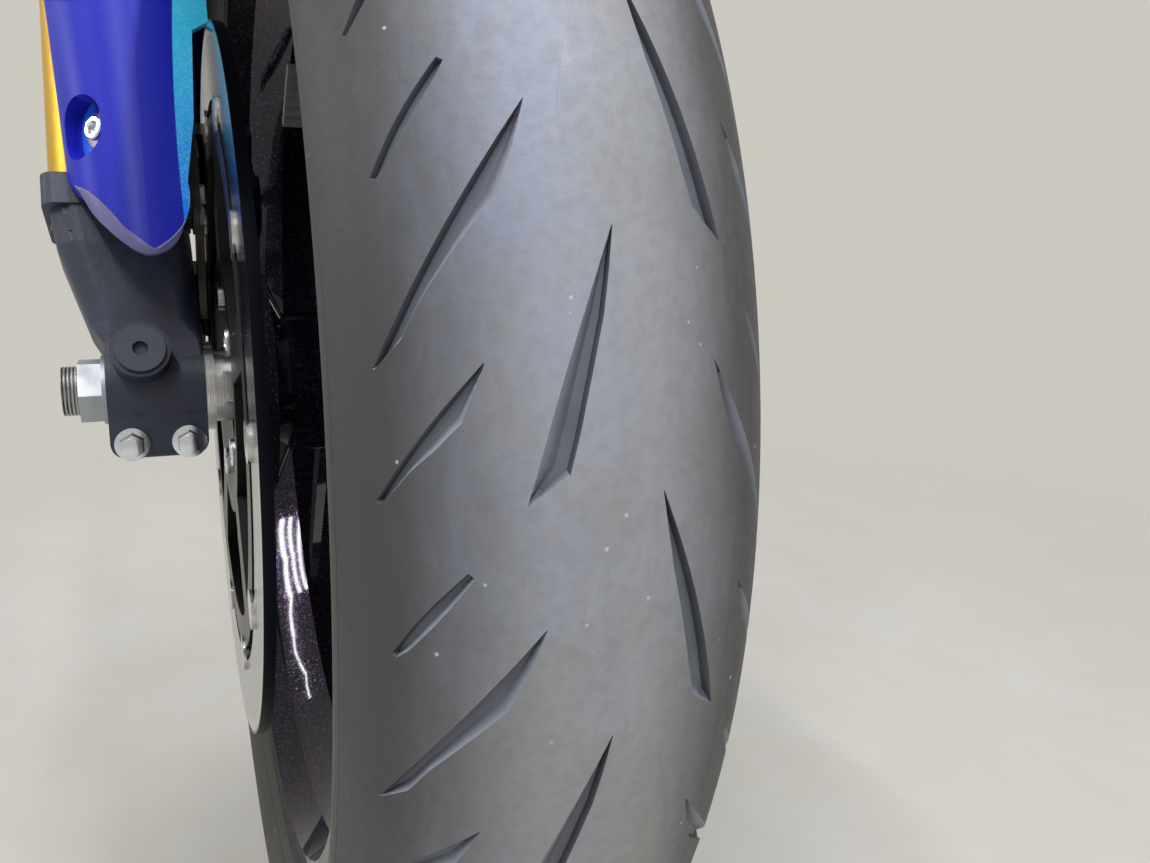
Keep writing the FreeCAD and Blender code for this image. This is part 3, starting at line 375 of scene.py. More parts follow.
def recess_painted_light(f, blue):
    """Painted light in the slot round a shield's bolt: its floor azure on the outer half, and its rim pale as a
    painted highlight.
    """
    x, y, z = f.leg_place()
    off = (y - RECESS_Y * MM) * math.cos(RECESS_TURN) - (x - RECESS_X * MM) * math.sin(RECESS_TURN)
    lift = z - RECESS_Z * MM
    beyond = ((lift * lift) ** 0.5 - RECESS_HALF_SLOT * MM).most(0)
    from_middle = (off * off + beyond * beyond) ** 0.5
    outer = f.step(off, 1 * MM, 6 * MM)
    # Painted highlight: a pale ring on the slot's rim, on its outer half only.
    rim = f.step(from_middle, (RECESS_R + 0.6) * MM, RECESS_R * MM) * outer
    blue = f.mix(rim * 0.7, blue, (0.10, 0.14, 0.60))
    # Painted light: the slot's floor is azure on its outer half only, as if lit.
    lit_floor_share = f.step(from_middle, (RECESS_R - 0.05) * MM, (RECESS_R - 0.3) * MM) * outer
    return f.mix(lit_floor_share, blue, (0.012, 0.14, 0.90))


def stripe_shades(f, blue, glint):
    """The sky-blue sparkling stripe along a shield's inner edge."""
    height = f.axis("Z")
    side = f.node("ShaderNodeMath", {"operation": "ABSOLUTE"}, {0: f.axis("Y")})
    above = height - STRIPE_MIDDLE
    bound = STRIPE_HALF_W - (above * above).least(STRIPE_REACH) * STRIPE_CURVE
    sky = f.mix(f.step(height, -0.36, -0.25), (0.015, 0.20, 1.0), (0.05, 0.62, 1.0))
    sky = f.mix(f.step(glint, 0.45, 0.9) * 0.4, sky, (0.22, 0.85, 1.0))
    return f.mix(f.step(bound - side, -0.0003, 0.0003), blue, sky)


def blue_lacquer(name, shield):
    """Deep blue lacquer, on a shield with its stripe and the painted light of its recess."""
    f = Finish(name)
    glint = f.cell_values(1500)
    soft = f.step(f.noise(7, 2, f.stretched((1, 3, 0.35))), 0.3, 0.7)
    blue = f.mix(soft, (0.009, 0.014, 0.36), (0.014, 0.022, 0.50))
    blue = f.mix(f.step(glint, 0.7, 1.0) * 0.20, blue, (0.04, 0.06, 0.70))
    if shield:
        blue = stripe_shades(f, recess_painted_light(f, blue), glint)
    f.put(Base_Color=blue, Roughness=soft * 0.06 + 0.36, Specular_IOR_Level=0.22)
    f.bump(f.noise(220, 2), 0.010)


def cast_black(name, colour, rough):
    """Satin paint over a sand casting: fine pimples, softly worn patches."""
    f = Finish(name)
    worn = f.step(f.noise(28, 5), 0.4, 0.75)
    f.put(Base_Color=f.mix(worn, colour, tuple(c * 1.4 + 0.004 for c in colour)),
          Roughness=worn * 0.12 + (rough - 0.05))
    f.bump(f.noise(800, 3) + f.noise(260, 2) * 0.8, 0.10)


rubber()
# Painted light and shade: groove floors get a lighter copy and walls a darker copy of one rubber.
shaded_groove_rubber("groove_floor_lit", (0.115, 0.125, 0.155), (0.265, 0.285, 0.340))
shaded_groove_rubber("groove_wall_shaded", (0.050, 0.053, 0.062), (0.110, 0.116, 0.138))
flake_paint()
disc_steel()
gold_coating()
threaded_zinc()
blue_lacquer("mudguard_blue", False)
blue_lacquer("shield_blue", True)
cast_black("casting_black", (0.026, 0.031, 0.058), 0.50)
cast_black("caliper_black", (0.014, 0.014, 0.016), 0.34)
plated("zinc_steel", (0.47, 0.50, 0.55), 0.50, 0.02, 0.4)
plated("bright_zinc", (0.70, 0.74, 0.80), 0.18, 0.02, 0.4)
plated("bearing_steel", (0.55, 0.55, 0.56), 0.22, 0.02)
plated("bobbin_steel", (0.68, 0.68, 0.67), 0.2, 0.02)
plated("spacer_alloy", (0.66, 0.66, 0.66), 0.20, 0.03, 0.05)
plated("pad_steel", (0.28, 0.26, 0.24), 0.5, 0.05, 0.8)
# The lighter lilac of the shield's bevelled edge is painted sheen.
painted("shield_edge_sheen", (0.120, 0.108, 0.265), 0.40)
painted("weight_grey", (0.42, 0.43, 0.45), 0.40)
painted("carrier_black", (0.012, 0.012, 0.014), 0.34, 0.03, metal=0.6)
painted("plug_black", (0.044, 0.054, 0.088), 0.50, 0.04)
painted("seal_rubber", (0.018, 0.018, 0.019), 0.62, 0.05, dust=0.4)
painted("outer_tube_black", (0.020, 0.020, 0.023), 0.28, 0.02, metal=0.7)
painted("bracket_black", (0.022, 0.022, 0.024), 0.52, 0.10, 1400, dust=0.5)


# Making pieces

def shade(bm, sharp):
    """Shade a bmesh smooth, apart from edges that turn by more than an angle in degrees."""
    for face in bm.faces:
        face.smooth = True
    for edge in bm.edges:
        edge.smooth = edge.calc_face_angle(math.pi) < math.radians(sharp)


def piece(name, bm, body, finish, replaces=(), sharp=30):
    """Close a bmesh into a piece with its finish, riding on its body."""
    bmesh.ops.remove_doubles(bm, verts=bm.verts, dist=0.001 * MM)
    bmesh.ops.recalc_face_normals(bm, faces=bm.faces)
    mesh = bpy.data.meshes.new(name)
    shade(bm, sharp)
    bm.to_mesh(mesh)
    bm.free()
    made = bpy.data.objects.new(name, mesh)
    bpy.context.scene.collection.objects.link(made)
    mesh.materials.append(FINISHES[finish])
    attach(made, body)
    if replaces:
        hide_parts(*replaces)
    return made


def whole(build, name, body, finish):
    """A piece that a function draws."""
    bm = bmesh.new()
    build(bm)
    piece(name, bm, body, finish)


def both_sides(build, name, body, finish):
    """A left-hand piece that a function draws, and its mirror image."""
    for side, sign in BOTH:
        bm = bmesh.new()
        build(bm)
        if sign < 0:
            bmesh.ops.transform(bm, matrix=MIRROR, verts=bm.verts)
        piece(name + "_" + side, bm, body, finish)


def turned(bm, outline, steps, place, closed=False):
    """Spin an outline of (radius, y) about Y, and put what it makes in place."""
    verts = [bm.verts.new((r, y, 0)) for r, y in outline]
    pairs = list(zip(verts, verts[1:])) + ([(verts[-1], verts[0])] if closed else [])
    edges = [bm.edges.new(pair) for pair in pairs]
    bmesh.ops.spin(bm, geom=verts + edges, cent=(0, 0, 0), axis=(0, 1, 0), angle=math.tau, steps=steps,
                   use_merge=True)
    fresh = {v for f in bm.faces if not f.tag for v in f.verts}
    bmesh.ops.remove_doubles(bm, verts=list(fresh), dist=0.001 * MM)
    moved = {v for f in bm.faces if not f.tag for v in f.verts}
    bmesh.ops.transform(bm, matrix=place, verts=list(moved))
    for f in bm.faces:
        f.tag = True


def turned_mm(bm, outline, place):
    """The same in millimetres, for small parts."""
    turned(bm, [(r * MM, y * MM) for r, y in outline], 24, place)


def at(x, y, z, axis, base=TO_LEG):
    """A place in a frame, with the local Y axis turned to a direction of that frame."""
    turn = Vector((0, 1, 0)).rotation_difference(Vector(axis)).to_matrix().to_4x4()
    return base @ Matrix.Translation(Vector((x, y, z)) * MM) @ turn


ROUND_FROM = 12


def prism(bm, sides, across, y0, y1, place, bevel):
    """A bar with flat sides along local Y, millimetres, with its far rim broken."""
    radius = across / 2 / math.cos(math.pi / sides) if sides < ROUND_FROM else across / 2
    got = bmesh.ops.create_cone(bm, cap_ends=True, segments=sides, radius1=radius * MM, radius2=radius * MM,
                                depth=(y1 - y0) * MM)
    verts = got["verts"]
    bmesh.ops.rotate(bm, verts=verts, matrix=Matrix.Rotation(-math.pi / 2, 3, "X"))
    bmesh.ops.translate(bm, verts=verts, vec=(0, (y0 + y1) / 2 * MM, 0))
    top = max(v.co.y for v in verts)
    rim = [e for e in {e for v in verts for e in v.link_edges} if all(v.co.y > top - 1e-7 for v in e.verts)]
    cut = bmesh.ops.bevel(bm, geom=rim, offset=bevel * MM, offset_type="OFFSET", segments=2, profile=0.5,
                          affect="EDGES", material=-1)
    everything = list({v for v in verts if v.is_valid} | set(cut["verts"]))
    bmesh.ops.transform(bm, matrix=place, verts=everything)
    for f in bm.faces:
        f.tag = True


def hex_bolt(bm, place, across, flange, head):
    """A hexagonal head on its flange, seen from local +Y, with a raised round mark on top."""
    prism(bm, 32, flange, 0, 1.6, place, 0.4)
    prism(bm, 6, across, 0.8, head, place, 0.6)
    prism(bm, 24, across * 0.82, head - 0.4, head + 0.25, place, 0.2)


def cap_screw(bm, place, head_d, head_h):
    """A round head with a bevelled rim and a round hole for its key."""
    turned_mm(bm, [(0.001, 0), (head_d / 2, 0), (head_d / 2, head_h - 0.6), (head_d / 2 - 0.6, head_h),
                   (head_d * 0.30, head_h), (head_d * 0.27, head_h - 0.4), (head_d * 0.26, head_h * 0.4),
                   (0.001, head_h * 0.36)], place)


# Tyre

SHOULDER = math.atan2(TYRE_HALF_W, CROWN_R - CROWN_DROP)
RIM_SEAT_R = 218.3 * MM
BEAD_Y = 46.5 * MM
BEAD_W = 9 * MM
TREAD_THICK = 6.5 * MM
WALL_BULGE = 11
CROWN_STEPS = 22
WALL_STEPS = 10
TYRE_STEPS = 288
TREAD_SHIFT = math.radians(3.6)
FIRST_PITCH = 15.8
PITCH = 23.25
SHORT_PITCH = 22.25
LONG_PITCHES = 4
PITCHES = 16
# Grooves of one pitch: turn and tilt of the straight edge's start and end in degrees, depth (below
# zero where the other side is the steep one), and the widths at the shares of its length, millimetres
SHARES = (0, 0.15, 0.3, 0.5, 0.7, 0.85, 1)
GROOVES = (
    (0.0, -4.8, -12.1, -25.0, -2.4, (0.2, 2.5, 4.5, 5.9, 7.0, 7.3, 0.2)),
    (5.65, -20.4, -5.8, -58.4, 2.4, (0.2, 4.0, 6.7, 5.0, 3.6, 3.8, 0.5)),
    (-5.7, -32.6, -12.2, -59.0, 2.2, (0.3, 2.9, 5.6, 4.9, 3.2, 2.6, 1.4)),
    (8.1, -37.1, 3.3, -55.4, 2.0, (2.0, 2.9, 3.5, 3.8, 3.5, 3.0, 1.6)),
    (10.0, -7.6, 3.7, -14.6, 0.15, (0.2, 0.5, 0.6, 0.6, 0.6, 0.4, 0.2)),
)
GROOVE_BOW = 1.2
GROOVE_CUTS = 19
# Where a cutter's edges lie across a groove, as shares of its width: at the top, and at the floor with
# the near or the far wall the steep one
TOP_EDGES = (0.02, -1.04)
NEAR_STEEP = (-0.09, -0.52)
FAR_STEEP = (-0.50, -0.92)
FLOOR_LENGTH = 0.96
FULL_DEPTH_W = 1.6 * MM
CUT_ABOVE = 0.3 * MM
# Faces between these depths under the crown are a groove's, and those that face outward its floor
GROOVE_DEPTHS = (0.12 * MM, 3.2 * MM)
FLOOR_FACING = 0.33
CROWN_SHARE = 0.38


def groove_width(share, widths):
    """Width at a share of the length, between the table's shares."""
    for low, high, a, b in zip(SHARES, SHARES[1:], widths, widths[1:]):
        if share <= high + 1e-6:
            return (a + (b - a) * (share - low) / (high - low)) * MM
    return widths[-1] * MM


def tread_point(turn, tilt, lift):
    """A point on the crown, raised by a lift."""
    r = CROWN_CENTRE_R + (CROWN_R + lift) * math.cos(tilt)
    return AXLE + Vector((r * math.cos(turn), (CROWN_R + lift) * math.sin(tilt), r * math.sin(turn)))


def groove_cutter(bm, row, turn0, side):
    """A blade-shaped cutter: a block beside the groove's straight edge, bent onto the crown."""
    turn_a, tilt_a, turn_b, tilt_b, depth, widths = row
    floor_edges = NEAR_STEEP if (depth > 0) == (side > 0) else FAR_STEEP
    depth = abs(depth)
    before = bm.calc_volume(signed=True)
    got = bmesh.ops.create_cube(bm, size=1)
    along = [e for e in {e for v in got["verts"] for e in v.link_edges}
             if abs(e.verts[0].co.x - e.verts[1].co.x) > 0.5]
    bmesh.ops.subdivide_edges(bm, edges=along, cuts=GROOVE_CUTS)
    verts = [v for v in bm.verts if not v.tag]
    length = Vector(((turn_b - turn_a) * TYRE_R, (tilt_b - tilt_a) * CROWN_R))
    across = Vector((-length.y, length.x)).normalized()
    for v in verts:
        share = v.co.x + 0.5
        width = groove_width(share, widths)
        bow = math.sin(math.pi * share) * GROOVE_BOW
        deep = v.co.z < 0
        if deep:
            share = 0.5 + (share - 0.5) * FLOOR_LENGTH
            lift = -depth * MM * min(width / FULL_DEPTH_W + 0.2, 1)
        else:
            lift = CUT_ABOVE * min(depth, 1)
        near, far = floor_edges if deep else TOP_EDGES
        off = across * (width * (near if v.co.y > 0 else far))
        turn = math.radians(turn0 + turn_a + (turn_b - turn_a) * share) + off.x / TYRE_R
        tilt = math.radians(tilt_a + (tilt_b - tilt_a) * share - bow) + off.y / CROWN_R
        v.co = tread_point(turn, side * tilt + TREAD_SHIFT, lift)
        v.tag = True
    if bm.calc_volume(signed=True) < before:
        bmesh.ops.reverse_faces(bm, faces=list({f for v in verts for f in v.link_faces}))


def tyre_outline():
    """The closed section of the tyre, as (radius, y)."""
    crown = []
    for i in range(2 * CROWN_STEPS + 1):
        tilt = SHOULDER * (i / CROWN_STEPS - 1)
        crown.append((CROWN_CENTRE_R + CROWN_R * math.cos(tilt), CROWN_R * math.sin(tilt)))
    start = Vector(crown[-1])
    end = Vector((RIM_FLANGE_R, BEAD_Y))
    heading = Vector((-math.sin(SHOULDER), math.cos(SHOULDER)))
    bulge = start + heading * WALL_BULGE * MM
    wall = []
    for i in range(1, WALL_STEPS + 1):
        t = i / WALL_STEPS
        wall.append(tuple(start * (1 - t) ** 2 + bulge * 2 * t * (1 - t) + end * t * t))
    half = wall + [(RIM_SEAT_R, BEAD_Y), (RIM_SEAT_R, BEAD_Y - BEAD_W)]
    inside = [(r - TREAD_THICK, y * 0.86) for r, y in crown[4:41:6]]
    return [(r, -y) for r, y in reversed(half)] + crown + half + inside[::-1]


def tread_cutters():
    """The cutters of all grooves, pitch by pitch round the tyre, half a pitch apart on the two sides."""
    cut = bmesh.new()
    turn = FIRST_PITCH + PITCH
    for pitch in range(PITCHES):
        step = PITCH if pitch < LONG_PITCHES else SHORT_PITCH
        for side, shift in ((1, 0), (-1, -step / 2)):
            for row in GROOVES:
                groove_cutter(cut, row, turn + shift, side)
        turn -= step
    return cut


def carve(made, cut):
    """Take a bmesh of cutters away from a piece."""
    mesh = bpy.data.meshes.new("cutters")
    cut.to_mesh(mesh)
    cut.free()
    tool = bpy.data.objects.new("cutters", mesh)
    bpy.context.scene.collection.objects.link(tool)
    change = made.modifiers.new("carve", "BOOLEAN")
    change.operation = "DIFFERENCE"
    change.solver = "MANIFOLD"
    change.object = tool
    graph = bpy.context.evaluated_depsgraph_get()
    carved = bpy.data.meshes.new_from_object(made.evaluated_get(graph))
    made.modifiers.clear()
    made.data = carved
    bpy.data.objects.remove(tool)
    bm = bmesh.new()
    bm.from_mesh(carved)
    shade(bm, 25)
    bm.to_mesh(carved)
    bm.free()


def tyre():
    """The tyre with its grooves, whose floor and wall faces get a lit and a shaded copy of the groove rubber:
    painted light and shade.
    """
    bm = bmesh.new()
    turned(bm, tyre_outline(), TYRE_STEPS, TO_AXLE, closed=True)
    made = piece("tyre_with_tread", bm, "wheel", "tyre_rubber", ["tyre"], 40)
    carve(made, tread_cutters())
    made.data.materials.clear()
    for finish in ("tyre_rubber", "groove_floor_lit", "groove_wall_shaded"):
        made.data.materials.append(FINISHES[finish])
    shallow, deep = GROOVE_DEPTHS
    for face in made.data.polygons:
        out = Vector(face.center) - AXLE
        from_ring = Vector((math.hypot(out.x, out.z) - CROWN_CENTRE_R, out.y))
        if CROWN_R - deep < from_ring.length < CROWN_R - shallow and from_ring.x > CROWN_R * CROWN_SHARE:
            ring = Vector((out.x, 0, out.z)).normalized() * CROWN_CENTRE_R
            # Painted light and shade: outward-facing floors get the lighter finish, walls the darker one.
            face.material_index = 1 if face.normal.dot((out - ring).normalized()) > FLOOR_FACING else 2


tyre()


# Mudguard

GUARD_CLEAR = 13 * MM
GUARD_WALL = 3 * MM
GUARD_SKIRT = 18 * MM
GUARD_HALF_W = 72 * MM
GUARD_ARC_DROP = 3.5 * MM
GUARD_FRONT_TURN = math.radians(46)
GUARD_REAR_TURN = math.radians(165)
GUARD_ROUND = 0.8 * MM
GUARD_ARC_STEPS = 14
GUARD_STEPS = 70


def mudguard():
    """The arch over the tyre with its round section, which the solid has in flat bands."""
    arc_r = TYRE_R - TYRE_HALF_W - GUARD_ARC_DROP
    arc_in = TYRE_R + GUARD_CLEAR - arc_r
    half = math.asin(GUARD_HALF_W / arc_in)
    skirt_r = arc_r + math.sqrt(arc_in ** 2 - GUARD_HALF_W ** 2) - GUARD_SKIRT
    turns = [half * i / GUARD_ARC_STEPS for i in range(-GUARD_ARC_STEPS, GUARD_ARC_STEPS + 1)]
    outside, inside = [[(arc_r + arc * math.cos(turn), arc * math.sin(turn)) for turn in turns]
                       for arc in (arc_in + GUARD_WALL, arc_in)]
    out_y, in_y = outside[-1][1], inside[-1][1]
    foot = [(skirt_r + GUARD_ROUND, out_y), (skirt_r, out_y - GUARD_ROUND), (skirt_r, in_y + GUARD_ROUND),
            (skirt_r + GUARD_ROUND, in_y)]
    outline = outside + foot + inside[::-1] + [(r, -y) for r, y in reversed(foot)]
    bm = bmesh.new()
    face = bm.faces.new([bm.verts.new((r, y, 0)) for r, y in outline])
    bmesh.ops.spin(bm, geom=[face], cent=(0, 0, 0), axis=(0, 1, 0), steps=GUARD_STEPS, use_merge=False,
                   angle=GUARD_FRONT_TURN - GUARD_REAR_TURN)
    bmesh.ops.transform(bm, matrix=TO_AXLE @ Matrix.Rotation(-GUARD_FRONT_TURN, 4, "Y"), verts=bm.verts)
    piece("mudguard_arch", bm, "fork", "mudguard_blue", ["mudguard"], 40)


mudguard()


# Finishes of the solids

# Nodes whose finish isn't that of their slot
OWN_FINISHES = {
    "mudguard_side_left": "shield_blue",
    "mudguard_side_right": "shield_blue",
    "axle": "axle_zinc",
}

for subpart in frame["record"]["subparts"]:
    node = frame["nodes"][subpart["node"]]
    finish = OWN_FINISHES.get(subpart["node"], subpart["material_slot"])
    node.data.materials.clear()
    node.data.materials.append(FINISHES[finish])


# Fasteners, millimetres: hexagonal heads by width across flats, flange and height, round ones by
# diameter and height

PINCH_HEAD = (9.6, 15, 6.5)
PINCH_X = 20.5
PINCH_Y = (86.3, 110)
PINCH_DROP = 21.3
CALIPER_HEAD = (12, 18, 9)
CALIPER_BOLT_X = (-54, 54)
CALIPER_BOLT_Y = 88.5
CALIPER_TOP_Z = 168.5
BODY_SCREW = (9, 3.5)
BODY_SCREW_X = (-48, -17, 17, 48)
BODY_SCREW_Z = 160
BODY_SCREW_DROP = 0.09
CALIPER_FACE_Y = 99
DISC_SCREW = (13, 5)
DISC_SCREWS = 5
DISC_SCREW_R = 42
DISC_SCREW_Y = 65
DISC_SCREW_TURN = 36
YOKE_SCREW = (11, 7)
YOKE_SCREW_X = 41
YOKE_SCREW_Y = 125
YOKE_SCREW_Z = (437, 454)
GUARD_HEAD = (8, 13, 5)
GUARD_BOLT_AT = (34, 92, 88)
RECESS_SCREW = (10.5, 3.4)
RECESS_SCREW_DEPTH = 8
RECESS_WASHER = 16
BRACKET_SCREW = (9, 2.6)
BRACKET_SCREW_X = (2, 26)
BRACKET_SCREW_Y = 75.0


def pinch_bolts(bm):
    for y in PINCH_Y:
        hex_bolt(bm, at(PINCH_X, y, -PINCH_DROP, (1, 0, 0), TO_AXLE), *PINCH_HEAD)


def caliper_bolts(bm):
    for x in CALIPER_BOLT_X:
        hex_bolt(bm, at(x, CALIPER_BOLT_Y, CALIPER_TOP_Z, (0, 0, 1), TO_CALIPER), *CALIPER_HEAD)


def caliper_screws(bm):
    for x in BODY_SCREW_X:
        z = BODY_SCREW_Z - abs(x) * BODY_SCREW_DROP
        cap_screw(bm, at(x, CALIPER_FACE_Y, z, (0, 1, 0), TO_CALIPER), *BODY_SCREW)


def disc_bolts(bm):
    for i in range(DISC_SCREWS):
        turn = math.radians(DISC_SCREW_TURN + 360 / DISC_SCREWS * i)
        x, z = DISC_SCREW_R * math.cos(turn), DISC_SCREW_R * math.sin(turn)
        cap_screw(bm, at(x, DISC_SCREW_Y, z, (0, 1, 0), TO_AXLE), *DISC_SCREW)


def yoke_bolts(bm):
    for z in YOKE_SCREW_Z:
        cap_screw(bm, at(YOKE_SCREW_X, YOKE_SCREW_Y, z, (0, 1, 0)), *YOKE_SCREW)


def guard_bolt(bm):
    hex_bolt(bm, at(*GUARD_BOLT_AT, (1, 0, 0)), *GUARD_HEAD)


def recess_bolt(bm):
    out_x, out_y = math.cos(RECESS_TURN), math.sin(RECESS_TURN)
    place = at(RECESS_X - RECESS_SCREW_DEPTH * out_x, RECESS_Y - RECESS_SCREW_DEPTH * out_y, RECESS_Z,
               (out_x, out_y, 0))
    prism(bm, 32, RECESS_WASHER, 0, 1.4, place, 0.4)
    cap_screw(bm, place @ Matrix.Translation((0, 1.2 * MM, 0)), *RECESS_SCREW)


def bracket_bolts(bm):
    for x in BRACKET_SCREW_X:
        cap_screw(bm, at(x, BRACKET_SCREW_Y, FOOT_CLAMP_Z, (0, -1, 0)), *BRACKET_SCREW)


both_sides(pinch_bolts, "pinch_bolts", "fork", "bright_zinc")
both_sides(caliper_bolts, "caliper_bolts", "fork", "bright_zinc")
both_sides(caliper_screws, "caliper_screws", "fork", "zinc_steel")
both_sides(disc_bolts, "disc_bolts", "wheel", "bright_zinc")
both_sides(yoke_bolts, "yoke_bolts", "fork", "zinc_steel")
both_sides(guard_bolt, "guard_bolt", "fork", "zinc_steel")
both_sides(recess_bolt, "recess_bolt", "fork", "bright_zinc")


# Edge of the shields, weight, valve and the small fittings of the legs, millimetres

# Along a shield's lower edge: y and z in the leg frame, and how far its bevel reaches in and out
SHIELD_BEVEL = (
    (125.6, 81.0, 0.2, 0.1), (124.4, 78.8, 1.0, 0.4), (123.2, 76.8, 1.8, 1.0), (121.4, 74.0, 2.6, 2.0),
    (119.5, 71.0, 3.0, 2.9), (117.1, 67.3, 3.2, 3.5), (114.6, 63.5, 3.2, 3.6), (112.4, 60.1, 3.2, 3.2),
    (110.8, 57.0, 3.3, 2.5), (109.0, 54.1, 3.4, 2.0), (106.8, 51.6, 3.6, 1.8), (104.2, 49.3, 3.4, 1.9),
    (101.3, 47.5, 2.8, 2.2), (98.5, 46.3, 1.8, 2.2), (95.5, 45.6, 0.9, 1.5), (92.8, 47.3, 0.6, 2.3),
    (90.0, 49.6, 0.5, 2.5), (87.6, 52.0, 0.4, 2.1), (85.5, 54.6, 0.3, 1.4), (83.8, 57.2, 0.2, 0.6),
    (82.4, 60.0, 0.2, 0.1),
)
BEVEL_FROM_X = 100
BEVEL_SET_IN = 0.8
BEVEL_BACK = 2.4
RIM_WELL_IN_R = 196.4
WEIGHT_TURN = 132
WEIGHT_Y = -15.2
WEIGHT_BLOCKS = 6
WEIGHT_PITCH = 2.2
WEIGHT_BLOCK = (7.0, 4.2, 11)
WEIGHT_RISE = 1.6
VALVE_TURN = 305
# The valve from its cap to its nut under the rim: radius, and the way out from the rim's well
VALVE = (
    (0.001, -36), (3.0, -36), (3.6, -35), (3.6, -27), (3.0, -26.5), (2.6, -26), (2.6, -7), (6.6, -6),
    (6.6, -3), (8.0, -2.4), (8.0, 0.4), (0.001, 0.4),
)
NIPPLE_X = (-24.8, 24.8)
NIPPLE_Y = 88
NIPPLE_Z = 178.9
CAP_TOP_Z = 704.2


def shield_bevel(bm):
    """The bevelled lower edge of a shield: a strip that lies on its face and turns back beyond it."""
    node = frame["nodes"]["mudguard_side_left"]
    to_node = node.matrix_world.inverted() @ TO_LEG
    along = (to_node.to_3x3() @ Vector((-1, 0, 0))).normalized()
    rings = []
    for i, (y, z, inside, outside) in enumerate(SHIELD_BEVEL):
        before = SHIELD_BEVEL[max(i - 1, 0)]
        after = SHIELD_BEVEL[min(i + 1, len(SHIELD_BEVEL) - 1)]
        run = Vector((0, after[0] - before[0], after[1] - before[1])).normalized()
        out = Vector((0, -run.z, run.y))
        inner = Vector((BEVEL_FROM_X, y, z)) - out * BEVEL_SET_IN
        place, normal = node.ray_cast(to_node @ (inner * MM), along)[1:3]
        normal = (to_node.inverted().to_3x3() @ normal).normalized()
        edge = to_node.inverted() @ place / MM + out * BEVEL_SET_IN
        slope = (out - normal * out.dot(normal)).normalized()
        spots = (edge - slope * inside + normal * 0.06, edge + slope * 0.1 + normal * 0.22,
                 edge + slope * outside - normal * outside * 0.25,
                 edge + slope * outside - normal * BEVEL_BACK,
                 edge - slope * 0.3 - normal * BEVEL_BACK, edge - slope * inside - normal * 0.5)
        rings.append([bm.verts.new(TO_LEG @ (spot * MM)) for spot in spots])
    for a, b in zip(rings, rings[1:]):
        for i in range(len(a)):
            after = (i + 1) % len(a)
            bm.faces.new((a[i], a[after], b[after], b[i]))
    bm.faces.new(rings[0])
    bm.faces.new(rings[-1][::-1])


def bleed_nipples(bm):
    for x in NIPPLE_X:
        place = at(x, NIPPLE_Y, NIPPLE_Z, (0, 0, 1), TO_CALIPER)
        prism(bm, 6, 7, -3, 4, place, 0.4)
        prism(bm, 20, 5, 3.5, 9, place, 0.6)
        prism(bm, 20, 6.4, 9, 11, place, 0.5)


def cap_adjusters(bm):
    place = at(0, LEG_Y, CAP_TOP_Z, (0, 0, 1))
    prism(bm, 6, 17, 0, 4.2, place, 0.5)
    prism(bm, 32, 11, 3.8, 6.6, place, 0.5)


def on_wheel(turn, radius, y):
    """A place on the wheel, with local Y pointing away from the axle and local Z along it."""
    turn = math.radians(turn)
    out = Vector((math.cos(turn), 0, math.sin(turn)))
    axes = Matrix((out.cross(Vector((0, 1, 0))), out, Vector((0, 1, 0)))).transposed().to_4x4()
    return TO_AXLE @ Matrix.Translation(out * radius * MM + Vector((0, y * MM, 0))) @ axes


def balance_weight(bm):
    size = Matrix.Diagonal((*(edge * MM for edge in WEIGHT_BLOCK), 1))
    for i in range(WEIGHT_BLOCKS):
        turn = WEIGHT_TURN + (i - (WEIGHT_BLOCKS - 1) / 2) * WEIGHT_PITCH
        place = on_wheel(turn, RIM_WELL_IN_R - WEIGHT_RISE, WEIGHT_Y)
        got = bmesh.ops.create_cube(bm, size=1, matrix=place @ size)
        edges = list({e for v in got["verts"] for e in v.link_edges})
        bmesh.ops.bevel(bm, geom=edges, offset=0.7 * MM, segments=2, profile=0.5, affect="EDGES", material=-1)


def valve(bm):
    turned_mm(bm, VALVE, on_wheel(VALVE_TURN, RIM_WELL_IN_R, 0))


both_sides(shield_bevel, "shield_bevel", "fork", "shield_edge_sheen")
both_sides(bleed_nipples, "bleed_nipples", "fork", "zinc_steel")
both_sides(cap_adjusters, "cap_adjusters", "fork", "spacer_alloy")
both_sides(bracket_bolts, "bracket_bolts", "fork", "zinc_steel")
whole(balance_weight, "balance_weight", "wheel", "weight_grey")
whole(valve, "valve", "wheel", "spacer_alloy")


# Camera, found by fitting the tyre, the disc and the foot to the photograph

CAMERA_AT = (0.71915, -0.09636, -0.33638)
CAMERA_YAW = 0.392144
CAMERA_PITCH = 0.216281
CAMERA_ROLL = 0.020328
FOCAL_PX = 1016.48
PHOTO_W = 1150
SENSOR_W = 36


def set_camera():
    """The photograph's camera, from its place, its turns and its focal length."""
    forward = Vector((-math.cos(CAMERA_YAW), math.sin(CAMERA_YAW), 0))
    right = Vector((math.sin(CAMERA_YAW), math.cos(CAMERA_YAW), 0))
    up = Vector((0, 0, 1))
    tilt = Matrix.Rotation(-CAMERA_PITCH, 3, right)
    forward, up = tilt @ forward, tilt @ up
    roll = Matrix.Rotation(-CAMERA_ROLL, 3, forward)
    right, up = roll @ right, roll @ up
    data = bpy.data.cameras.new("camera")
    data.sensor_width = SENSOR_W
    data.lens = FOCAL_PX / PHOTO_W * SENSOR_W
    data.clip_start = 0.01
    camera = bpy.data.objects.new("camera", data)
    bpy.context.scene.collection.objects.link(camera)
    turn = Matrix((right, up, -forward)).transposed().to_4x4()
    camera.matrix_world = Matrix.Translation(CAMERA_AT) @ turn
    bpy.context.scene.camera = camera


set_camera()


# Floor and room

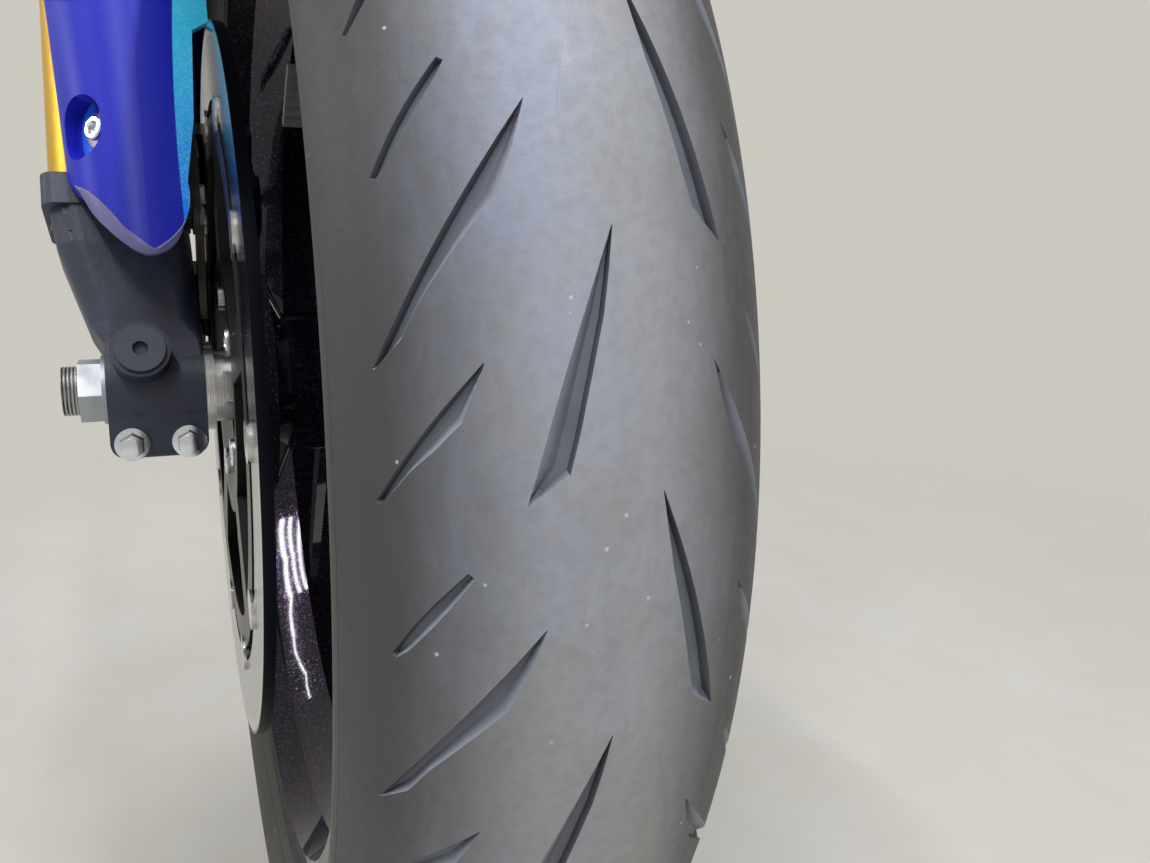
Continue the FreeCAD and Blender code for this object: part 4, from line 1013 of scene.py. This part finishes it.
FLOOR_HALF_W = 12
FLOOR_COLOUR = (0.60, 0.58, 0.52)
FLOOR_DUSTY = (0.63, 0.61, 0.56)
FLOOR_NEAR = 0.55
FLOOR_FAR = 1.5
BACKGROUND = (0.60, 0.58, 0.53)
AMBIENT = (0.80, 0.82, 0.86)
AMBIENT_STRENGTH = 0.45


def floor():
    """A pale floor, whose far part keeps the near part's brightness up to a horizon that doesn't show."""
    bm = bmesh.new()
    bmesh.ops.create_grid(bm, x_segments=1, y_segments=1, size=FLOOR_HALF_W)
    bmesh.ops.translate(bm, verts=bm.verts, vec=(0, 0, FLOOR_Z - 0.5 * MM))
    mesh = bpy.data.meshes.new("floor")
    bm.to_mesh(mesh)
    bm.free()
    f = Finish("floor")
    x, y = f.axis("X") - AXLE.x, f.axis("Y")
    far = f.step((x * x + y * y) ** 0.5, FLOOR_NEAR, FLOOR_FAR)
    mottled = f.step(f.noise(9, 6, None, 0.65), 0.35, 0.7)
    f.put(Base_Color=f.mix(mottled, FLOOR_COLOUR, FLOOR_DUSTY), Roughness=0.75)
    glow = f.node("ShaderNodeEmission", {}, {"Color": BACKGROUND, "Strength": 1.0})
    f.show(far * f.seen_directly(), f.shader, glow, "OUTPUT_MATERIAL")
    mesh.materials.append(f.material)
    made = bpy.data.objects.new("floor", mesh)
    bpy.context.scene.collection.objects.link(made)


def room():
    """Soft even light, with the floor's far colour behind the object."""
    world = bpy.data.worlds.new("room")
    world.use_nodes = True
    nodes = Nodes(world.node_tree)
    light = nodes.first("BACKGROUND")
    nodes.set(light, "Color", AMBIENT)
    nodes.set(light, "Strength", AMBIENT_STRENGTH)
    pale = nodes.node("ShaderNodeBackground", {}, {"Color": BACKGROUND, "Strength": 1.0})
    nodes.show(nodes.seen_directly(), light, pale, "OUTPUT_WORLD")
    bpy.context.scene.world = world


floor()
room()


# Lamps

# Name, place, aim, length and width, power and colour
LAMPS = (
    ("ceiling_tube_left", (1.0, -0.75, 1.5), (0.4, 0, -0.4), (1.7, 0.06), 24, (1, 1, 1)),
    ("ceiling_tube_right", (1.1, 0.30, 1.5), (0.4, 0, -0.4), (1.7, 0.06), 20, (1, 1, 1)),
    ("left_tube", (0.5, -1.5, 0.9), (0.25, 0, -0.45), (1.2, 0.06), 4, (1.0, 0.99, 0.96)),
    ("rear_tube", (-0.9, 0.3, 1.4), (0.2, 0, -0.3), (1.2, 0.2), 10, (0.97, 0.98, 1.0)),
)
# Thin tubes to the wheel's right, which the rim mirrors as white streaks: x, z, and the width from there on
STREAKS = (
    ("left", ((0.150, -0.021, 0.010), (0.011, 0.060, 0.009), (-0.154, 0.122, 0.006), (-0.350, 0.149, 0.004),
              (-0.630, 0.167, 0.003), (-0.835, 0.146, 0))),
    ("middle", ((0.159, -0.006, 0.008), (0.019, 0.075, 0.007), (-0.148, 0.143, 0))),
    ("right", ((0.169, 0.013, 0.008), (0.026, 0.089, 0.007), (-0.143, 0.158, 0))),
)
STREAK_Y = -1.05
STREAK_GLOW = 160


def lamp(name, place, aim, size, power, colour=(1, 1, 1), run=(1, 0, 0)):
    """A soft strip lamp whose length lies as near to a direction as its aim lets it."""
    data = bpy.data.lights.new(name, "AREA")
    data.shape = "RECTANGLE"
    data.size, data.size_y = size
    data.energy = power
    data.color = colour
    made = bpy.data.objects.new(name, data)
    back = (Vector(place) - Vector(aim)).normalized()
    along = (Vector(run) - back * back.dot(Vector(run))).normalized()
    turn = Matrix((along, back.cross(along), back)).transposed().to_4x4()
    made.matrix_world = Matrix.Translation(place) @ turn
    bpy.context.scene.collection.objects.link(made)


def streak(name, path):
    """Short tubes end to end along a path, all equally bright."""
    for i, (start, end) in enumerate(zip(path, path[1:])):
        x, z, width = start
        run = Vector((end[0] - x, 0, end[1] - z))
        middle = Vector((x, STREAK_Y, z)) + run / 2
        lamp("streak_%s_%d" % (name, i + 1), middle, (middle.x, 0, middle.z), (run.length, width),
             STREAK_GLOW * run.length * width, run=run)


for row in LAMPS:
    lamp(*row)
for name, path in STREAKS:
    streak(name, path)

bpy.context.scene.view_settings.view_transform = "Standard"
